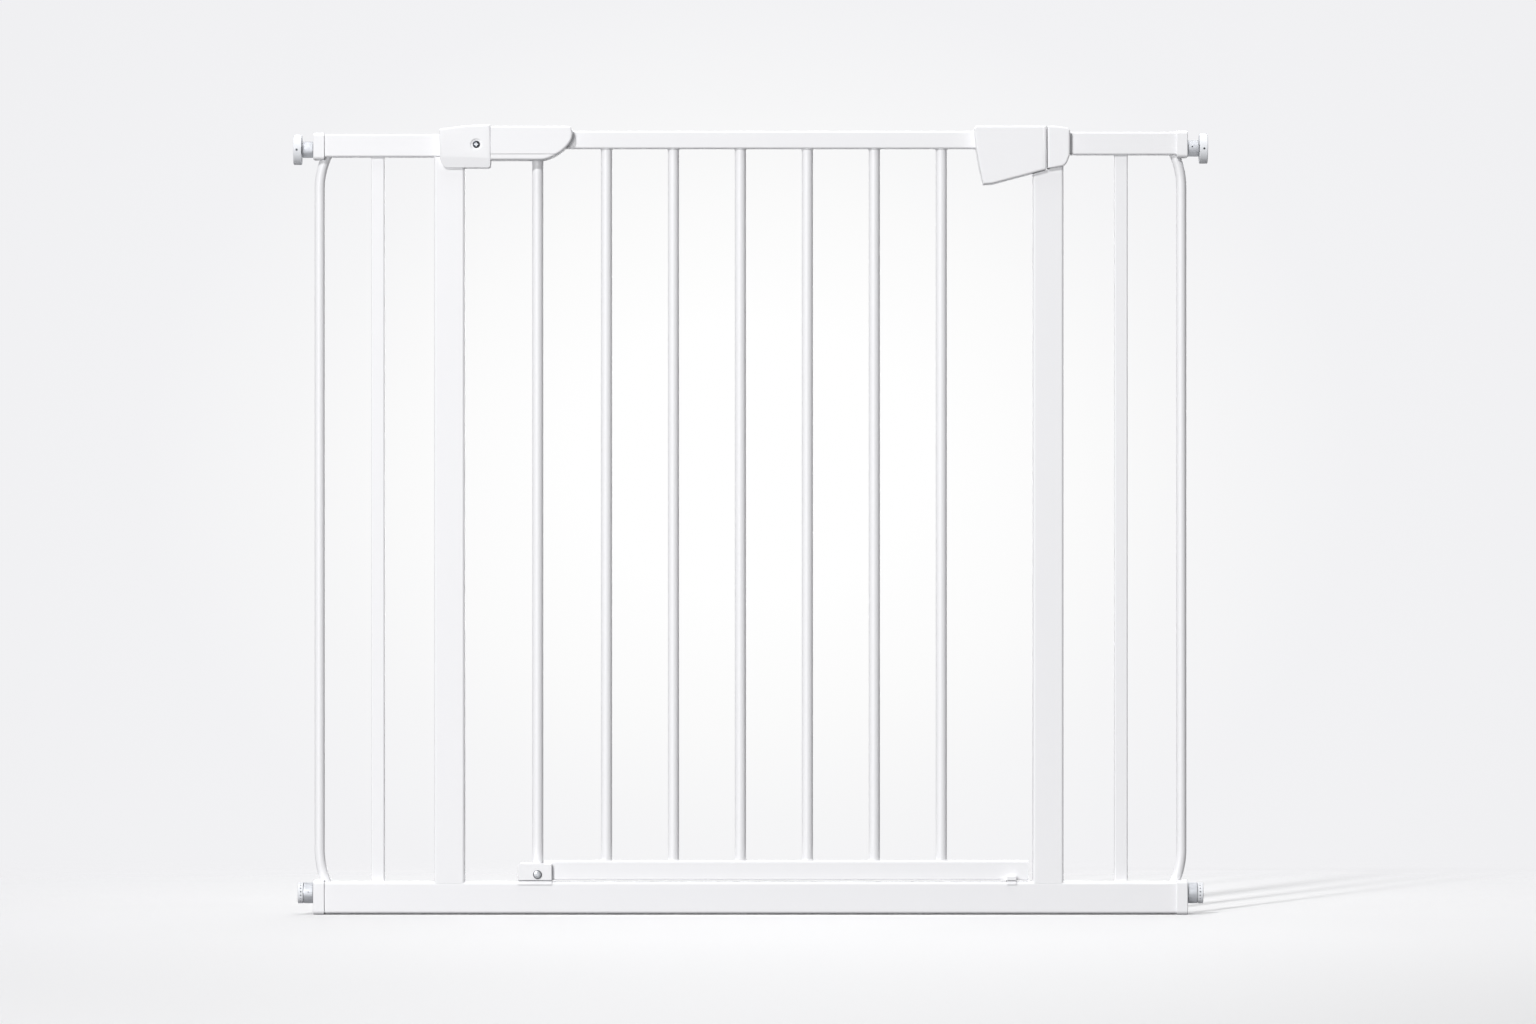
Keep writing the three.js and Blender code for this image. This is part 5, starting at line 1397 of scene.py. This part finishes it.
class OBJECT_OT_gate_handle(PieceOperator):
    """The latch handle on the leaf's free end, in a front and a rear half"""

    bl_idname = "object.gate_handle"
    bl_label = "Latch handle"

    def execute(self, context):
        half, at = high("handle_rear").y, button_centre()
        (left, _, bottom), (right, _, top) = low("handle_front"), high("handle_front")
        body, hollow = shell(shifted(left, bottom, HANDLE_CORNERS), half, context.scene.pet_gate.easing)
        inside = half - SHELL + 0.5 * MM
        screw = middle("handle_screw")
        hollow = carve(hollow, cut=[rod("Boss", (screw.x, -inside, screw.z), "Y", 2 * inside, 4.2 * MM, 48)])
        (_, by0, bz0), (bx1, by1, bz1) = low("latch_bolt"), high("latch_bolt")
        start = right - 6.3 * MM
        bolt = block((start, by0 - FIT, bz0 - FIT), (bx1 + FIT, by1 + FIT, bz1 + FIT), 0.4 * MM, "X")
        button = block(
            (at - 10 * MM, -7.3 * MM, top - 5 * MM), (at + 10 * MM, 7.3 * MM, top + 5 * MM), 2.3 * MM, "Z",
        )
        body = carve(body, cut=[
            hollow, leaf_rail_space(high("leaf_top_rail").x + FIT), bolt, button,
            *latch_screw_space("handle_screw", half, SHELL - half),
        ])
        # A fine groove sets off the lip beside the strike, on the front, the rear and the top.
        x0, sunk, past = right - 2.7 * MM, 0.4 * MM, 0.01
        x1 = x0 + 0.5 * MM
        body = carve(body, cut=[
            block((x0, -half - past, bottom), (x1, -half + sunk, top + past)),
            block((x0, half - sunk, bottom), (x1, half + past, top + past)),
            block((x0, -half - past, top - sunk), (x1, half + past, top + past)),
        ])
        (sx0, sy0, _), (sx1, _, _) = low("button_spring"), high("button_spring")
        bolt_shelf = block((at - 5 * MM, -inside, bz0 - FIT - 2 * MM), (at + 5 * MM, -SEAM / 2, bz0 - FIT))
        spring_shelf = block((sx0 - 3 * MM, sy0, bz0 - 2 * MM), (sx1 + 3 * MM, inside, bz0))
        dress_halves(body, "handle", "leaf", [bolt_shelf], [spring_shelf])
        return {"FINISHED"}


class OBJECT_OT_gate_button(PieceOperator):
    """The thumb button with its flange, cam blade and grip ribs, and the bolt that it draws back"""

    bl_idname = "object.gate_button"
    bl_label = "Thumb button and bolt"

    def execute(self, context):
        count, at = context.scene.pet_gate.ribs, button_centre()
        (_, y0, z0), (_, y1, z1) = low("thumb_button"), high("thumb_button")
        cap_x, cap_y, rib, pitch = 9.7 * MM, 7 * MM, 0.35 * MM, 2.6 * MM
        flange_top = high("handle_front").z - SHELL - FIT
        flange_bottom = flange_top - 2.6 * MM
        cap = slab(
            "thumb_button", rectangle(at - cap_x, -cap_y, at + cap_x, cap_y, 2 * MM), "Z",
            flange_top - 1 * MM, z1 - rib, 0, 0.7 * MM, steps=8,
        )
        corners = rectangle(at - cap_x - 1.5 * MM, y0, at + cap_x + 1.5 * MM, y1, 1 * MM)
        plate = slab("Plate", corners, "Z", flange_bottom, flange_top, 0.3 * MM, 0.3 * MM)
        # The cam slants at 45 degrees, so that it draws the bolt back as far as the button goes down.
        cam_top, cam_x, half_cam = flange_bottom + 1 * MM, at - 5 * MM, 1.75 * MM
        foot_x = cam_x + cam_top - z0
        cam = slab("Cam", [
            (foot_x - half_cam, z0, 0), (foot_x + half_cam, z0, 0),
            (cam_x + half_cam, cam_top, 0), (cam_x - half_cam, cam_top, 0),
        ], "Y", -2 * MM, 2 * MM)
        button = run_tree(carve(cap, join=[plate, cam]), rib_tree(), "moulded_plastic", {
            "Count": count, "First": at - pitch * (count - 1) / 2, "Pitch": pitch, "Height": z1 - rib,
            "Length": 2 * cap_y - 3 * MM, "Rib": rib,
        })
        dress(button, "button", "moulded_plastic", "thumb_button")
        dress(dressed_copy("latch_bolt", 0.3 * MM), "bolt", "plated_steel", "latch_bolt")
        return {"FINISHED"}


class OBJECT_OT_gate_strike(PieceOperator):
    """The strike on the latch post that the bolt shoots into, in a front and a rear half"""

    bl_idname = "object.gate_strike"
    bl_label = "Strike"

    def execute(self, context):
        half, (left, _, bottom) = high("strike_rear").y, low("strike_front")
        corners = shifted(left, bottom, STRIKE_CORNERS)
        body = moulded("Strike", corners, half, context.scene.pet_gate.easing)
        wall = left + STRIKE_WALL
        post = tube_space("latch_post", "Z", 0, high("latch_post").z + FIT, RAIL_CORNER + FIT)
        post = carve(post, cut=[block((low("latch_post").x - 0.1, -0.1, -0.1), (wall, 0.1, 1))])
        bolt_bottom, bolt_top = low("latch_bolt").z, high("latch_bolt").z
        mouth = block(
            (left - 2 * MM, -6 * MM, bolt_bottom - 2.5 * MM), (wall + FIT, 6 * MM, bolt_top + 3 * MM),
            1 * MM, "X",
        )
        start, end = middle("latch_post").x, high("right_top_rail").x
        rail = tube_space("right_top_rail", "X", start, end, SIDE_RAIL_CORNER + FIT)
        body = carve(body, cut=[post, mouth, rail, *latch_screw_space("strike_screw", half, 0)])
        dress_halves(body, "strike", "frame")
        return {"FINISHED"}


class OBJECT_OT_gate_screws(PieceOperator):
    """Cross-head screws of the hinges, the handle and the strike"""

    bl_idname = "object.gate_screws"
    bl_label = "Screws"

    def execute(self, context):
        screws = screw_tree()
        # The last value of each row is how far out the painted highlight on its head reaches.
        for name, node, body, towards, head_height, shank, bright in (
            ("housing_screw", "hinge_housing_screw", "frame", 1, 1.1 * MM, 3.6 * MM, 0.4),
            ("lower_hinge_screw", "lower_hinge_screw", "leaf", 1, 1.9 * MM, 3.6 * MM, 0.92),
            ("handle_screw", "handle_screw", "leaf", -1, 1.6 * MM, 3 * MM, 0.5),
            ("strike_screw", "strike_screw", "frame", -1, 1.6 * MM, 3 * MM, 0.5),
        ):
            (x0, y0, _), (x1, y1, _) = low(node), high(node)
            head = x1 - x0
            piece = grow(name, screws, "dark_steel", {
                "Head": head, "Head height": head_height, "Dome": head_height * 0.45, "Shank": shank,
                "Shank length": y1 - y0 - head_height, "Recess": head * 0.55, "Recess width": head * 0.13,
                "Recess depth": head_height * 0.75, "Bright to": bright,
            })
            at = (middle(node).x, y0 if towards > 0 else y1, middle(node).z)
            turn = Matrix.Rotation(math.radians(-90 * towards), 4, "X")
            piece.data.transform(Matrix.Translation(at) @ turn)
            dress(face_out(piece), body, "dark_steel", node, crease=35)
        return {"FINISHED"}


# ---- Studio ----

# Colour stops of the floor's painted pool of light, from the middle of the gate outwards.
PAINTED_LIGHT_POOL = ((0, "FCFCFD"), (0.3, "F9F9FA"), (0.55, "F4F4F5"), (1, "EEEEF0"))
GLOW = ((0, "FFFFFF"), (0.19, "FFFFFF"), (0.36, "FBFBFB"), (0.5, "F6F6F7"), (0.66, "F2F2F4"), (1, "F0F0F2"))
GLOW_CENTRE = (-0.0315, 0.5362)  # along X and Z
GLOW_REACH = (2.493, 1.947)
CAMERA_PLACE = (0.0172, -8.009, 0.3958)
LENS = 190.7
LAMPS = (
    # A soft sun from the upper left front gives the shadows; softboxes light front, tops and back.
    ("Key", "SUN", (-2.3, -5.2, 4.3), math.radians(2.6), 1.6),
    ("Fill", "AREA", (-1.7, -4.35, 0.75), 1.5, 88),
    ("Top", "AREA", (0, 0.1, 3.4), 2.4, 56),
    ("Back", "AREA", (0.9, 4.8, 2.0), 4.0, 125),
)
AIM = (0, 0, 0.4)


def toned_by_reach(tree, at, stops, **mapping):
    """A colour that runs through its stops with the distance from a middle."""
    spread = add(tree, "ShaderNodeMapping", {"Vector": at, **mapping})
    reach = add(tree, "ShaderNodeVectorMath", {0: spread}, operation="LENGTH").outputs["Value"]
    tone = add(tree, "ShaderNodeValToRGB", {0: reach})
    elements = tone.color_ramp.elements
    while len(elements) < len(stops):
        elements.new(0.5)
    for element, (position, shade) in zip(elements, stops):
        element.position, element.color = position, linear(shade)
    return tone


def showing(tree):
    """1 on the rays that show a surface: to the camera, or mirrored or passed on by metal or glass."""
    rays = add(tree, "ShaderNodeLightPath").outputs
    mirrored = add(tree, "ShaderNodeMath", {
        0: rays["Is Camera Ray"], 1: rays["Is Glossy Ray"],
    }, operation="MAXIMUM")
    return add(tree, "ShaderNodeMath", {0: mirrored, 1: rays["Is Transmission Ray"]}, operation="MAXIMUM")


def put(scene, name, data, place_at, turn):
    """Adds a lamp or a camera to the scene."""
    holder = bpy.data.objects.new(name, data)
    holder.location, holder.rotation_euler = place_at, turn
    scene.collection.objects.link(holder)
    return holder


class OBJECT_OT_gate_stage(PieceOperator):
    """Pale floor and backdrop, soft lamps from the upper left, and the camera"""

    bl_idname = "object.gate_stage"
    bl_label = "Studio"

    def execute(self, context):
        scene = context.scene
        floor = mesh_object("Floor", [(-7, -5, 0), (7, -5, 0), (7, 9, 0), (-7, 9, 0)], [(0, 1, 2, 3)])
        material = bpy.data.materials.new("Studio floor")
        tree = emptied(material)
        at = add(tree, "ShaderNodeTexCoord").outputs["Object"]
        # Pale paper with a painted pool of light: its colour is brightest round the middle of the gate and
        # darker away from it, mostly across, standing in for the lamps' falloff.
        tone = toned_by_reach(tree, at, PAINTED_LIGHT_POOL, Location=(-0.08, 0, 0), Scale=(1, 1 / 8, 0))
        # The paper is pale to look at, but throws less light up, so that undersides keep their depth.
        shade = add(tree, "ShaderNodeMix", {0: showing(tree), 6: linear("707072"), 7: tone}, data_type="RGBA")
        paper = add(tree, "ShaderNodeBsdfDiffuse", {"Color": shade.outputs[2]})
        # The floor thins out behind the gate and all round, and the backdrop takes over without a horizon.
        away = add(tree, "ShaderNodeMapping", {"Vector": at, "Location": (0, 1, 0), "Scale": (1 / 1.3, 1, 0)})
        edge = add(tree, "ShaderNodeVectorMath", {0: away}, operation="LENGTH").outputs["Value"]
        fade = add(tree, "ShaderNodeMapRange", {
            0: edge, 1: 1.1, 2: 2.3, 3: 0.0, 4: 1.0,
        }, interpolation_type="SMOOTHSTEP")
        clear = add(tree, "ShaderNodeBsdfTransparent")
        mixed = add(tree, "ShaderNodeMixShader", {0: fade, 1: paper, 2: clear})
        add(tree, "ShaderNodeOutputMaterial", {"Surface": mixed})
        floor.data.materials.append(material)

        backdrop = slab("Backdrop", rectangle(-9, -6, 9, 8, 0.5), "Y", 14, 14.02)
        material = bpy.data.materials.new("Studio backdrop")
        tree = emptied(material)
        at = add(tree, "ShaderNodeTexCoord").outputs["Object"]
        # A soft glow behind the middle of the gate, which falls off to a very pale grey.
        (x, z), (wide, tall) = GLOW_CENTRE, GLOW_REACH
        moved, scaled_by = (-x / wide, 0, -z / tall), (1 / wide, 0, 1 / tall)
        glow = toned_by_reach(tree, at, GLOW, Location=moved, Scale=scaled_by)
        light = add(tree, "ShaderNodeEmission", {"Color": glow, "Strength": 1.0})
        clear = add(tree, "ShaderNodeBsdfTransparent")
        shown = add(tree, "ShaderNodeMixShader", {0: showing(tree), 1: clear, 2: light})
        add(tree, "ShaderNodeOutputMaterial", {"Surface": shown})
        backdrop.data.materials.append(material)

        scene.world = bpy.data.worlds.new("Studio")
        tree = emptied(scene.world)
        ambient = add(tree, "ShaderNodeBackground", {"Color": linear("FBFBFC"), "Strength": 0.13})
        seen = add(tree, "ShaderNodeBackground", {"Color": linear("F0F0F2"), "Strength": 1.0})
        picked = add(tree, "ShaderNodeMixShader", {0: showing(tree), 1: ambient, 2: seen})
        add(tree, "ShaderNodeOutputWorld", {"Surface": picked})

        for name, kind, place_at, size, energy in LAMPS:
            lamp = bpy.data.lights.new(name, kind)
            lamp.energy = energy
            if kind == "SUN":
                lamp.angle = size
            else:
                lamp.shape, lamp.size = "SQUARE", size
            aim = Vector(AIM) - Vector(place_at)
            put(scene, name, lamp, place_at, aim.to_track_quat("-Z", "Y").to_euler())

        camera = bpy.data.cameras.new("Camera")
        camera.lens, camera.sensor_width = LENS, 36
        scene.camera = put(scene, "Camera", camera, CAMERA_PLACE, (math.radians(90), 0, 0))
        scene.view_settings.view_transform = "Standard"
        return {"FINISHED"}


PIECE_OPERATORS = (
    OBJECT_OT_gate_frame,
    OBJECT_OT_gate_outer_bars,
    OBJECT_OT_gate_leaf,
    OBJECT_OT_gate_welds,
    OBJECT_OT_gate_caps,
    OBJECT_OT_gate_adjusters,
    OBJECT_OT_gate_hinge_housing,
    OBJECT_OT_gate_hinge_arm,
    OBJECT_OT_gate_hinge_cover,
    OBJECT_OT_gate_hinge_bearing,
    OBJECT_OT_gate_springs,
    OBJECT_OT_gate_lower_hinge,
    OBJECT_OT_gate_lower_catch,
    OBJECT_OT_gate_handle,
    OBJECT_OT_gate_button,
    OBJECT_OT_gate_strike,
    OBJECT_OT_gate_screws,
    OBJECT_OT_gate_stage,
)


class VIEW3D_PT_pet_gate(Panel):
    """Builds the gate's pieces one after the other"""

    bl_label = "Pet gate"
    bl_idname = "VIEW3D_PT_pet_gate"
    bl_space_type = "VIEW_3D"
    bl_region_type = "UI"
    bl_category = "Pet gate"

    def draw(self, context):
        for setting in GateSettings.__annotations__:
            self.layout.prop(context.scene.pet_gate, setting)
        for operator in PIECE_OPERATORS:
            self.layout.operator(operator.bl_idname)


CLASSES = (GateSettings, *PIECE_OPERATORS, VIEW3D_PT_pet_gate)


def register():
    for kind in CLASSES:
        bpy.utils.register_class(kind)
    bpy.types.Scene.pet_gate = PointerProperty(type=GateSettings)


def unregister():
    del bpy.types.Scene.pet_gate
    for kind in reversed(CLASSES):
        bpy.utils.unregister_class(kind)


def main():
    register()
    for operator in PIECE_OPERATORS:
        area, name = operator.bl_idname.split(".")
        getattr(getattr(bpy.ops, area), name)()


if __name__ == "__main__":
    main()
